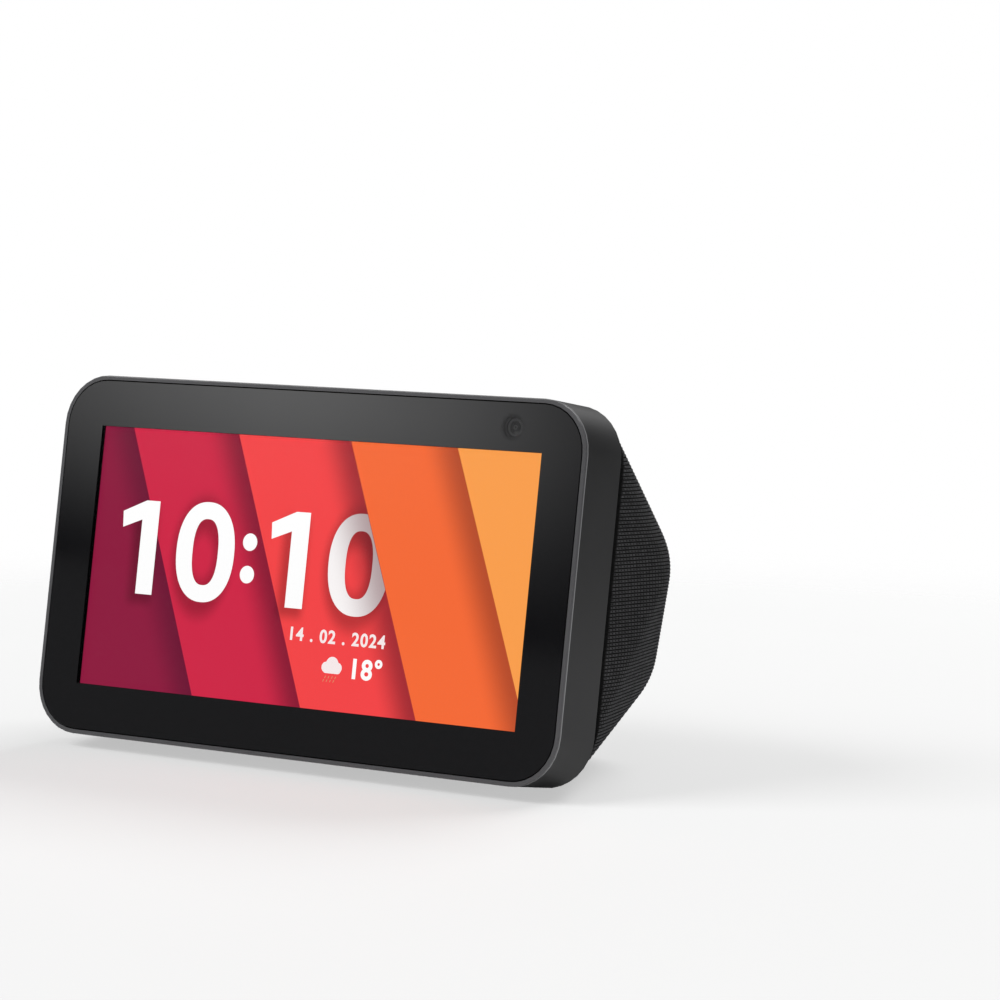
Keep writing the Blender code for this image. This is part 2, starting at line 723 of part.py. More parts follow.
# ---- speaker -------------------------------------------------------------------------
def make_speaker(face):
    """A driver facing the back, in a cup that closes the air behind it."""
    place = (0, SPEAKER_FRONT, SPEAKER_HEIGHT)
    wall = 0.0015
    cup_radius = SPEAKER_RADIUS + 0.0020
    cup_depth = 0.0290
    turned("speaker_enclosure", (
        (0, -cup_depth), (cup_radius - 0.004, -cup_depth), (cup_radius, -cup_depth + 0.004),
        (cup_radius, -0.0030), (cup_radius - wall, -0.0030),
        (cup_radius - wall, -cup_depth + 0.005), (cup_radius - 0.005, -cup_depth + wall),
        (0, -cup_depth + wall)), "inner_plastic", face, place)
    flange = 0.0012
    seat = 0.0175
    turned("speaker_basket", (
        (SPEAKER_RADIUS, 0), (seat, 0), (seat, -flange), (0.0125, -0.0125),
        (0.0125, -0.0138), (0.0075, -0.0138), (0.0075, -0.0148), (0.0138, -0.0148),
        (0.0138, -0.0125), (0.0192, -flange - 0.0006), (SPEAKER_RADIUS, -flange - 0.0006)),
        "steel", face, place)
    turned("speaker_gasket", (
        (SPEAKER_RADIUS, 0.0012), (0.0180, 0.0012), (0.0180, GAP), (SPEAKER_RADIUS, GAP)),
        "rubber", face, place)
    turned("speaker_top_plate", (
        (0.0130, -0.0151), (0.0075, -0.0151), (0.0075, -0.0171), (0.0130, -0.0171)),
        "steel", face, place)
    turned("speaker_magnet", (
        (0.0140, -0.0174), (0.0090, -0.0174), (0.0090, -0.0222), (0.0140, -0.0222)),
        "magnet", face, place)
    turned("speaker_yoke", (
        (0, -0.0155), (0.0056, -0.0155), (0.0056, -0.0225), (0.0130, -0.0225),
        (0.0130, -0.0247), (0, -0.0247)), "steel", face, place)
    turned("speaker_surround", (
        (0.0171, -0.0002), (0.0163, 0.0009), (0.0153, 0.0012), (0.0143, 0.0009),
        (0.0138, -0.0001), (0.0141, -0.0004), (0.0146, 0.0005), (0.0153, 0.0008),
        (0.0160, 0.0005), (0.0166, -0.0007)), "rubber", face, place)
    turned("speaker_cone", (
        (0.0134, -0.0004), (0.0072, -0.0080), (0.0070, -0.0084), (0.0067, -0.0084),
        (0.0067, -0.0076), (0.0129, 0.0)), "paper", face, place)
    turned("voice_coil", (
        (0.0070, -0.0087), (0.0064, -0.0087), (0.0064, -0.0166), (0.0070, -0.0166)),
        "copper", face, place)
    turned("speaker_dust_cap", (
        (0, -0.0052), (0.0030, -0.0057), (0.0052, -0.0068), (0.0062, -0.0080),
        (0.0058, -0.0084), (0.0049, -0.0074), (0.0028, -0.0062), (0, -0.0057)),
        "paper", face, place)
    turned("speaker_spider", (
        (0.0118, -0.0124), (0.0118, -0.0128), (0.0104, -0.0120), (0.0090, -0.0128),
        (0.0078, -0.0122), (0.0078, -0.0118), (0.0090, -0.0124), (0.0104, -0.0116)),
        "paper", face, place)


# ---- back ----------------------------------------------------------------------------
def base_cutter(name, inset, low, high):
    return prism_mesh(name, [base_outline(inset)], low, high, axis="Z")


def port_outline(inset):
    width, height = PORT_SIZE
    return rounded(
        PORT_X - width / 2 + inset, PORT_X + width / 2 - inset,
        PORT_HEIGHT - height / 2 + inset, PORT_HEIGHT + height / 2 - inset,
        height / 2 - inset - 0.00001, steps=6)


def make_fabric(face):
    """The knitted cover, open to the band, to the base and round the ports."""
    fabric = add_object(
        "fabric_cover", body_mesh("fabric_cover", 0.0), "fabric", face,
        smooth=30)
    cut(fabric, body_mesh("fabric_inside", FABRIC, reach=0.003))
    combine(fabric, base_cutter("fabric_base_opening", -0.0005, -0.010, 0.006),
            "DIFFERENCE", parent=None)
    port = prism_mesh("fabric_port_opening", [port_outline(-GAP)], PORT_BACK - 0.002, 0.060)
    combine(fabric, port, "DIFFERENCE", parent=None)
    return fabric


def make_housing(face):
    """The hard shell under the fabric: base ledge, port opening and speaker grille."""
    inset = FABRIC + GAP
    housing = add_object(
        "rear_housing", body_mesh("rear_housing", inset), "inner_plastic", face,
        smooth=30)
    cut(housing, body_mesh("housing_inside", inset + HOUSING_WALL, reach=0.003))
    for side in (-1, 1):
        for across, along in BASE_SCREWS:
            boss = rod_mesh(
                "base_boss", 0.0030, (side * across, along, 0.0045),
                (side * across, along, 0.0090), steps=16)
            combine(housing, boss, "UNION", parent=None)
    plate_top = FOOT_THICKNESS + GAP + BASE_THICKNESS
    pocket = base_cutter("housing_base_pocket", -0.0005, -0.010, plate_top + GAP)
    combine(housing, pocket, "DIFFERENCE", parent=None)
    for side in (-1, 1):
        for across, along in BASE_SCREWS:
            pilot = rod_mesh(
                "base_pilot", PILOT_RADIUS, (side * across, along, 0.0),
                (side * across, along, 0.0082), steps=12)
            combine(housing, pilot, "DIFFERENCE", parent=None)
        magnet_hole = rod_mesh(
            "magnet_hole", 0.0050, (side * MAGNET_X, 0, 0), (side * MAGNET_X, 0, 0.012))
        combine(housing, magnet_hole, "DIFFERENCE", parent=None)
    port = prism_mesh("housing_port_opening", [port_outline(-GAP)], PORT_BACK - 0.002, 0.060)
    combine(housing, port, "DIFFERENCE", parent=None)
    for ring, count in ((0.0, 1), (0.0070, 6), (0.0140, 12)):
        for index in range(count):
            angle = 2 * math.pi * index / count
            across = ring * math.cos(angle)
            up = SPEAKER_HEIGHT + ring * math.sin(angle)
            cut(housing, rod_mesh(
                "grille_hole", 0.0024, (across, SPEAKER_FRONT - 0.001, up),
                (across, SPEAKER_FRONT + 0.020, up), steps=10))
    return housing


def make_base():
    """The base plate, its magnets and screws, and the rubber foot."""
    bottom = FOOT_THICKNESS + GAP
    top = bottom + BASE_THICKNESS
    places = [(side * across, along) for side in (-1, 1) for across, along in BASE_SCREWS]
    screw_holes = [circle(across, along, 0.0012, steps=12) for across, along in places]
    plate("base_plate", [base_outline(0)] + screw_holes, bottom, top, "inner_plastic", None,
          axis="Z")
    head_holes = [circle(across, along, 0.0026, steps=20) for across, along in places]
    plate("rubber_foot", [base_outline(FOOT_INSET)] + head_holes, 0, FOOT_THICKNESS,
          "rubber", None, axis="Z")
    for side, name in ((-1, "base_magnet_left"), (1, "base_magnet_right")):
        low = top + GAP
        disc = rod_mesh(name, 0.0045, (0, 0, 0), (0, 0, 0.0030), steps=24)
        add_object(name, disc, "magnet", None, (side * MAGNET_X, 0, low), smooth=40)
    for number, (across, along) in enumerate(places, 1):
        make_screw("base_screw_%d" % number, (across, along, bottom - GAP), (0, 0, 1),
                   None, 0.0060, recess=True)


def make_ports():
    """The port surround, flush with the fabric, the power jack and the USB socket."""
    trim = plate("port_trim", [port_outline(0)], PORT_BACK, 0.055, "band_plastic", None)
    shell = body_mesh("trim_limit", -0.0002)
    combine(trim, shell, "INTERSECT", parent=bpy.data.objects["face"])
    cut(trim, prism_mesh("trim_pocket", [port_outline(0.0016)], PORT_FLOOR, 0.060))
    cut(trim, rod_mesh("jack_hole", 0.0031, (JACK_X, PORT_BACK - 0.005, PORT_HEIGHT),
                       (JACK_X, PORT_FLOOR + 0.005, PORT_HEIGHT)))
    usb_hole = rounded(USB_X - 0.0041, USB_X + 0.0041, PORT_HEIGHT - 0.0018,
                       PORT_HEIGHT + 0.0018, 0.0012, steps=3)
    cut(trim, prism_mesh("usb_hole", [usb_hole], PORT_BACK - 0.005, PORT_FLOOR + 0.005))
    make_jack()
    make_usb_port()


def make_jack():
    """The power jack: a box with a round nose, a bore and a centre pin."""
    half = 0.0048
    back = PORT_BACK - 0.0110
    end = PORT_FLOOR - GAP
    jack = block("dc_jack", (JACK_X - half, back, PORT_HEIGHT - half),
                 (JACK_X + half, PORT_BACK - GAP, PORT_HEIGHT + half), "inner_plastic", None)
    union(jack, rod_mesh("jack_nose", 0.0028, (JACK_X, PORT_BACK - 0.002, PORT_HEIGHT),
                         (JACK_X, end, PORT_HEIGHT)))
    cut(jack, rod_mesh("jack_bore", 0.0021, (JACK_X, back + 0.002, PORT_HEIGHT),
                       (JACK_X, end + 0.002, PORT_HEIGHT)))
    union(jack, rod_mesh("jack_pin", 0.0007, (JACK_X, back + 0.001, PORT_HEIGHT),
                         (JACK_X, end - 0.001, PORT_HEIGHT), steps=12))


def make_usb_port():
    """The USB socket: a metal shell with its tongue."""
    half_width = 0.0037
    half_height = 0.0014
    wall = 0.0004
    back = PORT_BACK - 0.0050
    end = PORT_FLOOR - GAP
    socket = block("usb_port", (USB_X - half_width, back, PORT_HEIGHT - half_height),
                   (USB_X + half_width, end, PORT_HEIGHT + half_height), "steel", None)
    cut(socket, box_mesh(
        "usb_mouth", (USB_X - half_width + wall, back + 0.003, PORT_HEIGHT - half_height + wall),
        (USB_X + half_width - wall, end + 0.002, PORT_HEIGHT + half_height - wall)))
    union(socket, box_mesh(
        "usb_tongue", (USB_X - 0.0022, back + 0.002, PORT_HEIGHT - 0.0003),
        (USB_X + 0.0022, end - 0.001, PORT_HEIGHT + 0.0003)))


# ---- assembly ------------------------------------------------------------------------
def make_face():
    """The empty that tilts the front back and sets it over the foot."""
    face = bpy.data.objects.new("face", None)
    PARTS.objects.link(face)
    face.location = (0, FACE_Y, FACE_HEIGHT_ABOVE_GROUND)
    face.rotation_euler.x = -TILT
    return face


def build():
    face = make_face()
    make_glass(face)
    make_adhesive(face)
    make_display(face)
    make_frame(face)
    for name, across in BUTTONS.items():
        make_button(name, across, face)
    make_button_board(face)
    make_shutter(face)
    make_camera(face)
    make_chassis(face)
    for number, (across, up) in enumerate(BOSS_PLACES, 1):
        make_screw("chassis_screw_%d" % number, (across, CHASSIS_BACK + GAP, up),
                   (0, -1, 0), face, 0.0055)
    make_main_board(face)
    for number, (across, up) in enumerate(BOARD_POSTS, 1):
        make_screw("board_screw_%d" % number, (across, BOARD_BACK + GAP, up),
                   (0, -1, 0), face, 0.0050)
    make_cables(face)
    make_speaker(face)
    make_housing(face)
    make_fabric(face)
    make_base()
    make_ports()


clear_scene()
PARTS = new_collection(COLLECTION)
CUTTERS = new_collection("cutters")
build()
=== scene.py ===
"""Looks of the small smart display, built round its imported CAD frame.

The frame gives every place: new pieces are set out in the face frame, whose origin is the
centre of the glass on its front, with X to the right, depth into the device and up along
the glass. Sizes here are in millimetres where a name ends in _MM, and in metres elsewhere.
"""

import json
import math

import bmesh
import bpy
import numpy as np
from mathutils import Matrix, Vector
from mathutils.bvhtree import BVHTree
from mathutils.geometry import convex_hull_2d


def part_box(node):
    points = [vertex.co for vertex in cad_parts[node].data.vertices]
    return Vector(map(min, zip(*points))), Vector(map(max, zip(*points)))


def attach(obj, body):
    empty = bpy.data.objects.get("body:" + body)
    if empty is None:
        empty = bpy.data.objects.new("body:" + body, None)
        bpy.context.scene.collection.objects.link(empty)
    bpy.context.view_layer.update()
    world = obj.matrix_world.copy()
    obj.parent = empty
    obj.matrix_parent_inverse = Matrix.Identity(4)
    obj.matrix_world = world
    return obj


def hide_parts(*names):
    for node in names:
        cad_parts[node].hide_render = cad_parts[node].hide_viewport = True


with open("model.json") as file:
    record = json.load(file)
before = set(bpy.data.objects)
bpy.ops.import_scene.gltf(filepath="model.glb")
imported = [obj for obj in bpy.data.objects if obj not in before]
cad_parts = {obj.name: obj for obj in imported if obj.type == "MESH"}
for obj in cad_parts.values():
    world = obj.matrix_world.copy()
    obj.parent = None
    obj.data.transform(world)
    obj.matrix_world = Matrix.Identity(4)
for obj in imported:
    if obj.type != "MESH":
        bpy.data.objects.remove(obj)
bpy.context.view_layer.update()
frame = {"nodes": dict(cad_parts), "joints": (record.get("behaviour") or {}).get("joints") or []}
NODES = frame["nodes"]
MM = 0.001

# ---- camera ----
CAMERA_AZIMUTH = 32.97        # degrees to the right of straight ahead
CAMERA_ELEVATION = 5.86
CAMERA_ROLL = 0.30
CAMERA_DISTANCE = 0.83
CAMERA_AIM = (0.0374, 0.0032, 0.0628)   # the device stands left of the frame's centre
CAMERA_LENS = 129.6           # focal length in millimetres, on a sensor of 36

# ---- screen picture, in the face frame ----
LIT_HALF_MM = (62.4, 31.0)
SHEET_SLANT = 0.4065          # sideways shift of a sheet's edge for each unit down
SHEET_EDGES_MM = (-41.2, -9.8, 22.4, 51.8)   # at mid height
COVERING_SHEET = 2            # the edge that the last figure goes under
SHEET_SHADOW_MM = 10.5        # soft shadow that each sheet casts on the one to its left
SHEETS = (                    # each sheet's colour, plain and under the next one's shadow
    ("#8c1b3e", "#6d1534"),
    ("#cd2746", "#8a1a34"),
    ("#f24547", "#a42c33"),
    ("#f46a37", "#b64c2b"),
    ("#f99e4d", "#f99e4d"),
)
PICTURE_DEPTH_MM = 1.26       # between the glass and the panel
PICTURE_THICKNESS_MM = 0.03
UNLIT_COLOUR = "#020202"      # the panel and its figures where they give no light

# ---- figures on the picture, in the face frame ----
DIGIT_HIGH_MM = 13.9
DIGIT_LOW_MM = -8.4
DIGIT_MIDDLE_MM = 2.8
ONES_MM = (-43.5, 0.6)        # right edge of each one
ONE_STEM_MM = 4.9
ZEROS_MM = (-28.8, 15.4)      # centre of each zero
ZERO_OUTER_MM = (8.5, 11.8)
ZERO_INNER_MM = (3.75, 7.8)
COLON_X_MM = -16.0
COLON_RADIUS_MM = 2.05
COLON_UP_MM = (6.0, -1.6)
RIGHT_EDGE_MM = 24.8          # small lines end here
DATE_UP_MM = -15.6
DATE_SIZE_MM = 4.2
WEATHER_UP_MM = -23.0
WEATHER_SIZE_MM = 6.3
CLOUD_MM = (10.7, -21.1)
CLOUD_BUMPS_MM = ((-1.6, 0.0, 1.25), (0.1, 0.75, 1.75), (1.7, 0.05, 1.2))   # x, y, radius
DATE_TEXT = "14 . 02 . 2024"
WEATHER_TEXT = "18°"

# ---- glass and band ----
CAMERA_SPOT_MM = 2.7          # radius of the smoked spot over the camera
CAMERA_SPOT_CLEAR = 0.45      # share of light that it lets through
WINDOW_SHINE = 0.003
LIP_DEPTH_MM = 0.82           # depth of the facet round the glass
# painted highlight: the facet round the glass is painted paler, and its back edge a bright line
LIP_HIGHLIGHT_COLOUR = "#565658"
LIP_HIGHLIGHT_LINE_COLOUR = "#8e8e90"
GRAIN_MM = 0.22               # spacing and depth of the moulded plastic's grain
GRAIN_DEPTH_MM = 0.006

# ---- fabric ----
HOLE_PITCH_MM = 1.54          # between holes along a row
ROW_PITCH_MM = 0.415          # between rows, each set off by half a hole
ROW_TILT = math.radians(4.0)  # rows fall this much towards the back
FABRIC_START_MM = 0.35        # the fabric shows this far behind the CAD fabric's front edge
UNDER_LEVEL_MM = 5.0          # rows end and the under panel starts at this height
UNDER_ROW_PITCH_MM = 0.52
HEM_MM = 0.6                  # depth that the fabric's edges turn in
THREAD_RISE_MM = 0.12
HOLE_SINK_MM = 0.20
RIB_RISE_MM = 0.10
# painted shade also darkens the fabric over this dip
GROOVE_MM = (0.9, 1.7)        # the fabric dips between these depths behind its front edge
GROOVE_SINK_MM = 0.6
SWEEP_STEPS = 520             # rays that find a row's outline
SIDE_COLUMNS = 176            # columns on each side of the middle, past the longest row
RELAX_ROUNDS = 6

# ---- studio ----
FLOOR_RADIUS = 2.0
WORLD_SEEN = 1.0              # strength of the world for the camera
WORLD_LIGHT = 0.16            # and for every other ray
CARD_DISTANCE = 0.9
CARD_STRENGTH = 2.35


# ---- places ----
PRESS_AXIS = next(j["axis"] for j in frame["joints"] if j["name"] == "volume_up_press")
FACE_RIGHT = Vector((1, 0, 0))
FACE_UP = -Vector(PRESS_AXIS).normalized()
FACE_BACK = FACE_UP.cross(FACE_RIGHT)
FACE_AXES = np.array([FACE_RIGHT, FACE_BACK, FACE_UP])


def vertices(node):
    return np.array([v.co for v in NODES[node].data.vertices])


def raw_face_box(node):
    spans = vertices(node) @ FACE_AXES.T
    return spans.min(0), spans.max(0)


glass_low, glass_high = raw_face_box("cover_glass")
FACE_CORNER = np.array([0, glass_low[1], (glass_low[2] + glass_high[2]) / 2])
FACE_ORIGIN = Vector(FACE_CORNER @ FACE_AXES)


def face_box(node):
    """Lowest and highest corner of a node in the face frame."""
    low, high = raw_face_box(node)
    return low - FACE_CORNER, high - FACE_CORNER


CAMERA_LOW, CAMERA_HIGH = face_box("camera_lens")
CAMERA_MM = tuple((CAMERA_LOW[k] + CAMERA_HIGH[k]) / 2 / MM for k in (0, 2))


def face_point(across, depth, up):
    """The world place of a point in the face frame."""
    return FACE_ORIGIN + FACE_RIGHT * across + FACE_BACK * depth + FACE_UP * up


def plane_matrix(origin, right, up):
    """Places a flat outline so that its X follows right and its Y follows up."""
    right = Vector(right).normalized()
    up = Vector(up).normalized()
    out = right.cross(up)
    matrix = Matrix((right, up, out)).transposed().to_4x4()
    matrix.translation = origin
    return matrix


# ---- colours and node trees ----
def linear(text):
    """Scene-linear colour of a #rrggbb text, as RGBA."""
    values = [int(text[i:i + 2], 16) / 255 for i in (1, 3, 5)]
    steps = [v / 12.92 if v <= 0.04045 else ((v + 0.055) / 1.055) ** 2.4 for v in values]
    return (*steps, 1.0)


def tinted(colour, factor):
    """An RGBA colour made lighter or darker by factor."""
    return (*(min(1.0, c * factor) for c in colour[:3]), 1.0)


class Tree:
    """A material's node tree, with short ways to add and join nodes."""

    def __init__(self, name):
        self.material = bpy.data.materials.new(name)
        self.material.use_nodes = True
        self.nodes = self.material.node_tree.nodes
        self.links = self.material.node_tree.links
        self.nodes.clear()
        self.out = self.nodes.new("ShaderNodeOutputMaterial")

    def feed(self, socket, value):
        """Gives a socket another socket's output, a value, or a #rrggbb colour."""
        if isinstance(value, bpy.types.NodeSocket):
            self.links.new(value, socket)
        elif value is not None:
            socket.default_value = linear(value) if isinstance(value, str) else value

    def add(self, kind, inputs=None, **settings):
        node = self.nodes.new(kind)
        for name, value in settings.items():
            setattr(node, name, value)
        for name, value in (inputs or {}).items():
            self.feed(node.inputs[name], value)
        return node

    def math(self, operation, a, b=None, c=None):
        node = self.add("ShaderNodeMath", operation=operation)
        for socket, value in zip(node.inputs, (a, b, c)):
            self.feed(socket, value)
        return node.outputs[0]

    def ramp(self, value, start, end, low=0.0, high=1.0):
        """Smooth step from low at start to high at end."""
        node = self.add("ShaderNodeMapRange", interpolation_type="SMOOTHSTEP")
        for name, number in zip(("Value", "From Min", "From Max", "To Min", "To Max"),
                                (value, start, end, low, high)):
            self.feed(node.inputs[name], number)
        return node.outputs[0]

    def times(self, a, b):
        return self.math("MULTIPLY", a, b)

    def fold(self, operation, values):
        """One operation over several values."""
        total = values[0]
        for value in values[1:]:
            total = self.math(operation, total, value)
        return total

    def length(self, x, y):
        """Length of the vector (x, y)."""
        return self.math("SQRT", self.math("ADD", self.times(x, x), self.times(y, y)))

    def mix(self, factor, a, b):
        node = self.add("ShaderNodeMix", data_type="RGBA")
        self.feed(node.inputs[0], factor)
        self.feed(node.inputs[6], a)
        self.feed(node.inputs[7], b)
        return node.outputs[2]

    def place(self):
        return self.add("ShaderNodeTexCoord").outputs["Object"]

    def noise(self, scale, detail=2.0, roughness=0.5, vector=None):
        node = self.add("ShaderNodeTexNoise", {
            "Vector": vector or self.place(),
            "Scale": scale,
            "Detail": detail,
            "Roughness": roughness,
        })
        return node.outputs["Fac"]

    def dot(self, vector, axis):
        node = self.add("ShaderNodeVectorMath", operation="DOT_PRODUCT")
        self.feed(node.inputs[0], vector)
        self.feed(node.inputs[1], tuple(axis))
        return node.outputs["Value"]

    def face_offset(self):
        """The vector from the face frame's origin."""
        offset = self.add("ShaderNodeVectorMath", operation="SUBTRACT")
        self.feed(offset.inputs[0], self.place())
        self.feed(offset.inputs[1], tuple(FACE_ORIGIN))
        return offset.outputs[0]

    def face_place_mm(self):
        """Across and up on the face frame, in millimetres, as two sockets."""
        offset = self.face_offset()
        return self.dot(offset, FACE_RIGHT / MM), self.dot(offset, FACE_UP / MM)

    def face_depth_mm(self):
        """Depth behind the front of the glass, in millimetres."""
        return self.dot(self.face_offset(), FACE_BACK / MM)

    def bump(self, height, strength, depth_mm):
        node = self.add("ShaderNodeBump", {
            "Height": height,
            "Strength": strength,
            "Distance": depth_mm * MM,
        })
        return node.outputs[0]

    def principled(self, **inputs):
        node = self.add("ShaderNodeBsdfPrincipled")
        for name, value in inputs.items():
            self.feed(node.inputs[name.replace("_", " ")], value)
        return node.outputs[0]

    def mix_shaders(self, factor, a, b):
        node = self.add("ShaderNodeMixShader")
        for socket, value in zip(node.inputs, (factor, a, b)):
            self.feed(socket, value)
        return node.outputs[0]

    def clear(self):
        return self.add("ShaderNodeBsdfTransparent", {"Color": (1, 1, 1, 1)}).outputs[0]

    def finish(self, shader):
        self.links.new(shader, self.out.inputs["Surface"])
        return self.material

    def surface(self, **inputs):
        """The finished material of one principled shader."""
        return self.finish(self.principled(**inputs))


# ---- materials ----
def moulded_plastic(name, colour, roughness, lip=False):
    """Fine-grained moulded plastic: soft spots in colour and shine, and a spark grain.

    With a lip, the edge at the front of the face is a polished facet, painted paler as a
    highlight, that ends in a bright line of painted highlight.
    """
    tree = Tree(name)
    cloud = tree.noise(60.0, 3.0)
    grain = tree.noise(1.0 / (GRAIN_MM * MM), 2.0, 0.6)
    base = linear(colour)
    tone = tree.mix(tree.ramp(cloud, 0.35, 0.7), base, tinted(base, 1.25))
    shine = tree.math("ADD", tree.ramp(cloud, 0.3, 0.7, roughness - 0.03, roughness + 0.04),
                      tree.times(grain, 0.06))
    if lip:
        depth = tree.face_depth_mm()
        facet = tree.ramp(depth, LIP_DEPTH_MM + 0.05, LIP_DEPTH_MM - 0.05)
        line = tree.times(facet, tree.ramp(depth, LIP_DEPTH_MM - 0.35, LIP_DEPTH_MM - 0.25))
        # painted highlight: the facet painted paler, and a bright painted line at its back edge
        tone = tree.mix(facet, tone, LIP_HIGHLIGHT_COLOUR)
        tone = tree.mix(line, tone, LIP_HIGHLIGHT_LINE_COLOUR)
        shine = tree.math("SUBTRACT", shine, tree.times(facet, 0.15))
    return tree.surface(
        Base_Color=tone,
        Roughness=shine,
        Specular_IOR_Level=0.35,
        Normal=tree.bump(grain, 0.35, GRAIN_DEPTH_MM),
    )


def lit_mask(tree, across, up, soft):
    """1 inside the lit rectangle, 0 outside it."""
    half_width, half_height = LIT_HALF_MM
    width = tree.ramp(tree.math("ABSOLUTE", across), half_width + soft, half_width - soft)
    height = tree.ramp(tree.math("ABSOLUTE", up), half_height + soft, half_height - soft)
    return tree.times(width, height)


def disc_mask(tree, across, up, centre, radius, soft):
    """1 inside a disc on the face, 0 outside it."""
    distance = tree.length(tree.math("SUBTRACT", across, centre[0]),
                           tree.math("SUBTRACT", up, centre[1]))
    return tree.ramp(distance, radius + soft, radius - soft)


def sheet_place(tree, across, up):
    """Distance from the face's centre across the slanted sheets, at mid height."""
    return tree.math("MULTIPLY_ADD", up, SHEET_SLANT, across)


def sheet_colours(tree, along):
    """The slanted sheets: each one flat in colour, darkening under the next one's edge."""
    result = SHEETS[0][0]
    for index, edge in enumerate(SHEET_EDGES_MM):
        near = tree.ramp(along, edge - SHEET_SHADOW_MM, edge)
        result = tree.mix(near, result, SHEETS[index][1])
        beyond = tree.ramp(along, edge - 0.04, edge + 0.04)
        result = tree.mix(beyond, result, SHEETS[index + 1][0])
    return result


def screen_material():
    """The lit panel behind the glass."""
    tree = Tree("screen")
    across, up = tree.face_place_mm()
    picture = sheet_colours(tree, sheet_place(tree, across, up))
    lit = lit_mask(tree, across, up, 0.05)
    shadow = clock_shadow(tree, across, up)
    shaded = tree.mix(shadow, picture, "#3a0a14")
    return tree.surface(
        Base_Color=UNLIT_COLOUR,
        Roughness=0.5,
        Specular_IOR_Level=0.05,
        Emission_Color=shaded,
        Emission_Strength=lit,
    )


def soft_box(tree, across, up, low, high, blur):
    """A box with soft edges: 1 inside, falling to 0 over blur outside."""
    factors = []
    for value, start, end in ((across, low[0], high[0]), (up, low[1], high[1])):
        factors.append(tree.ramp(value, start - blur, start + blur * 0.4))
        factors.append(tree.ramp(value, end + blur, end - blur * 0.4))
    return tree.fold("MULTIPLY", factors)


def soft_ring(tree, across, up, centre, radii, width, blur):
    """An oval ring with soft edges: 1 on the ring, falling to 0 over blur beside it."""
    x = tree.math("DIVIDE", tree.math("SUBTRACT", across, centre[0]), radii[0])
    y = tree.math("DIVIDE", tree.math("SUBTRACT", up, centre[1]), radii[1])
    off = tree.math("ABSOLUTE", tree.math("SUBTRACT", tree.length(x, y), 1.0))
    off = tree.times(off, min(radii))
    return tree.ramp(off, width / 2 + blur, width / 2 - blur * 0.4)


def clock_shadow(tree, across, up):
    """Soft shadow under the clock's figures, as a share of up to 0.45."""
    parts = []
    for x in ONES_MM:
        low = (x - ONE_STEM_MM - 1.6, DIGIT_LOW_MM - 1.4)
        high = (x - 1.0, DIGIT_HIGH_MM - 2.0)
        parts.append(soft_box(tree, across, up, low, high, 2.6))
    for x in ZEROS_MM:
        centre = (x - 0.9, DIGIT_MIDDLE_MM - 1.2)
        radii = [(outer + inner) / 2 for outer, inner in zip(ZERO_OUTER_MM, ZERO_INNER_MM)]
        parts.append(soft_ring(tree, across, up, centre, radii, 4.0, 2.4))
    edge = SHEET_EDGES_MM[COVERING_SHEET]
    seen = tree.ramp(sheet_place(tree, across, up), edge + 0.05, edge - 0.05)
    return tree.times(tree.times(tree.fold("MAXIMUM", parts), seen), 0.45)


def glass_material():
    """Cover glass: black print round a clear window, and a smoked spot for the camera."""
    tree = Tree("glass")
    across, up = tree.face_place_mm()
    window = lit_mask(tree, across, up, 0.03)
    smudge = tree.noise(35.0, 3.0)
    printed = tree.principled(
        Base_Color="#141416",
        Roughness=tree.ramp(smudge, 0.3, 0.7, 0.05, 0.09),
        Specular_IOR_Level=0.5,
    )
    clear = tree.clear()
    gloss = tree.add("ShaderNodeBsdfGlossy", {"Roughness": 0.03}).outputs[0]
    pane = tree.mix_shaders(WINDOW_SHINE, clear, gloss)
    spot = disc_mask(tree, across, up, CAMERA_MM, CAMERA_SPOT_MM, 0.8)
    smoked = tree.mix_shaders(tree.times(spot, CAMERA_SPOT_CLEAR), printed, clear)
    return tree.finish(tree.mix_shaders(window, smoked, pane))


def brushed_metal(name, colour, roughness, scale=900.0):
    """Plated metal with fine streaks along X."""
    tree = Tree(name)
    place = tree.add("ShaderNodeMapping", {
        "Vector": tree.place(),
        "Scale": (0.06, 1.0, 1.0),
    }).outputs[0]
    streaks = tree.noise(scale, 3.0, 0.6, place)
    cloud = tree.noise(90.0, 2.0)
    base = linear(colour)
    return tree.surface(
        Base_Color=tree.mix(tree.ramp(cloud, 0.3, 0.7), tinted(base, 0.72), base),
        Metallic=1.0,
        Roughness=tree.ramp(streaks, 0.3, 0.7, roughness - 0.07, roughness + 0.09),
        Normal=tree.bump(streaks, 0.25, 0.01),
    )


def rubber_material():
    tree = Tree("rubber")
    grain = tree.noise(3500.0, 2.0, 0.7)
    wear = tree.noise(120.0, 3.0)
    return tree.surface(
        Base_Color=tree.mix(tree.ramp(wear, 0.4, 0.7), "#161616", "#242424"),
        Roughness=tree.ramp(grain, 0.2, 0.8, 0.72, 0.92),
        Specular_IOR_Level=0.25,
        Normal=tree.bump(grain, 0.5, 0.02),
    )


def board_material():
    """Green circuit board with copper tracks under the lacquer."""
    tree = Tree("board")
    lines = tree.add("ShaderNodeTexWave", {
        "Vector": tree.place(),
        "Scale": 260.0,
        "Distortion": 6.0,
        "Detail": 1.0,
    }).outputs["Fac"]
    tracks = tree.ramp(lines, 0.72, 0.78)
    return tree.surface(
        Base_Color=tree.mix(tracks, "#0d3a1e", "#2c6a38"),
        Roughness=tree.ramp(lines, 0.0, 1.0, 0.32, 0.45),
        Coat_Weight=0.4,
        Normal=tree.bump(tracks, 0.4, 0.03),
    )


def paper_material():
    """Pressed paper of the speaker cone."""
    tree = Tree("paper")
    fibres = tree.noise(1400.0, 4.0, 0.7)
    return tree.surface(
        Base_Color=tree.mix(tree.ramp(fibres, 0.3, 0.7), "#26241f", "#3a3832"),
        Roughness=0.88,
        Normal=tree.bump(fibres, 0.6, 0.03),
    )


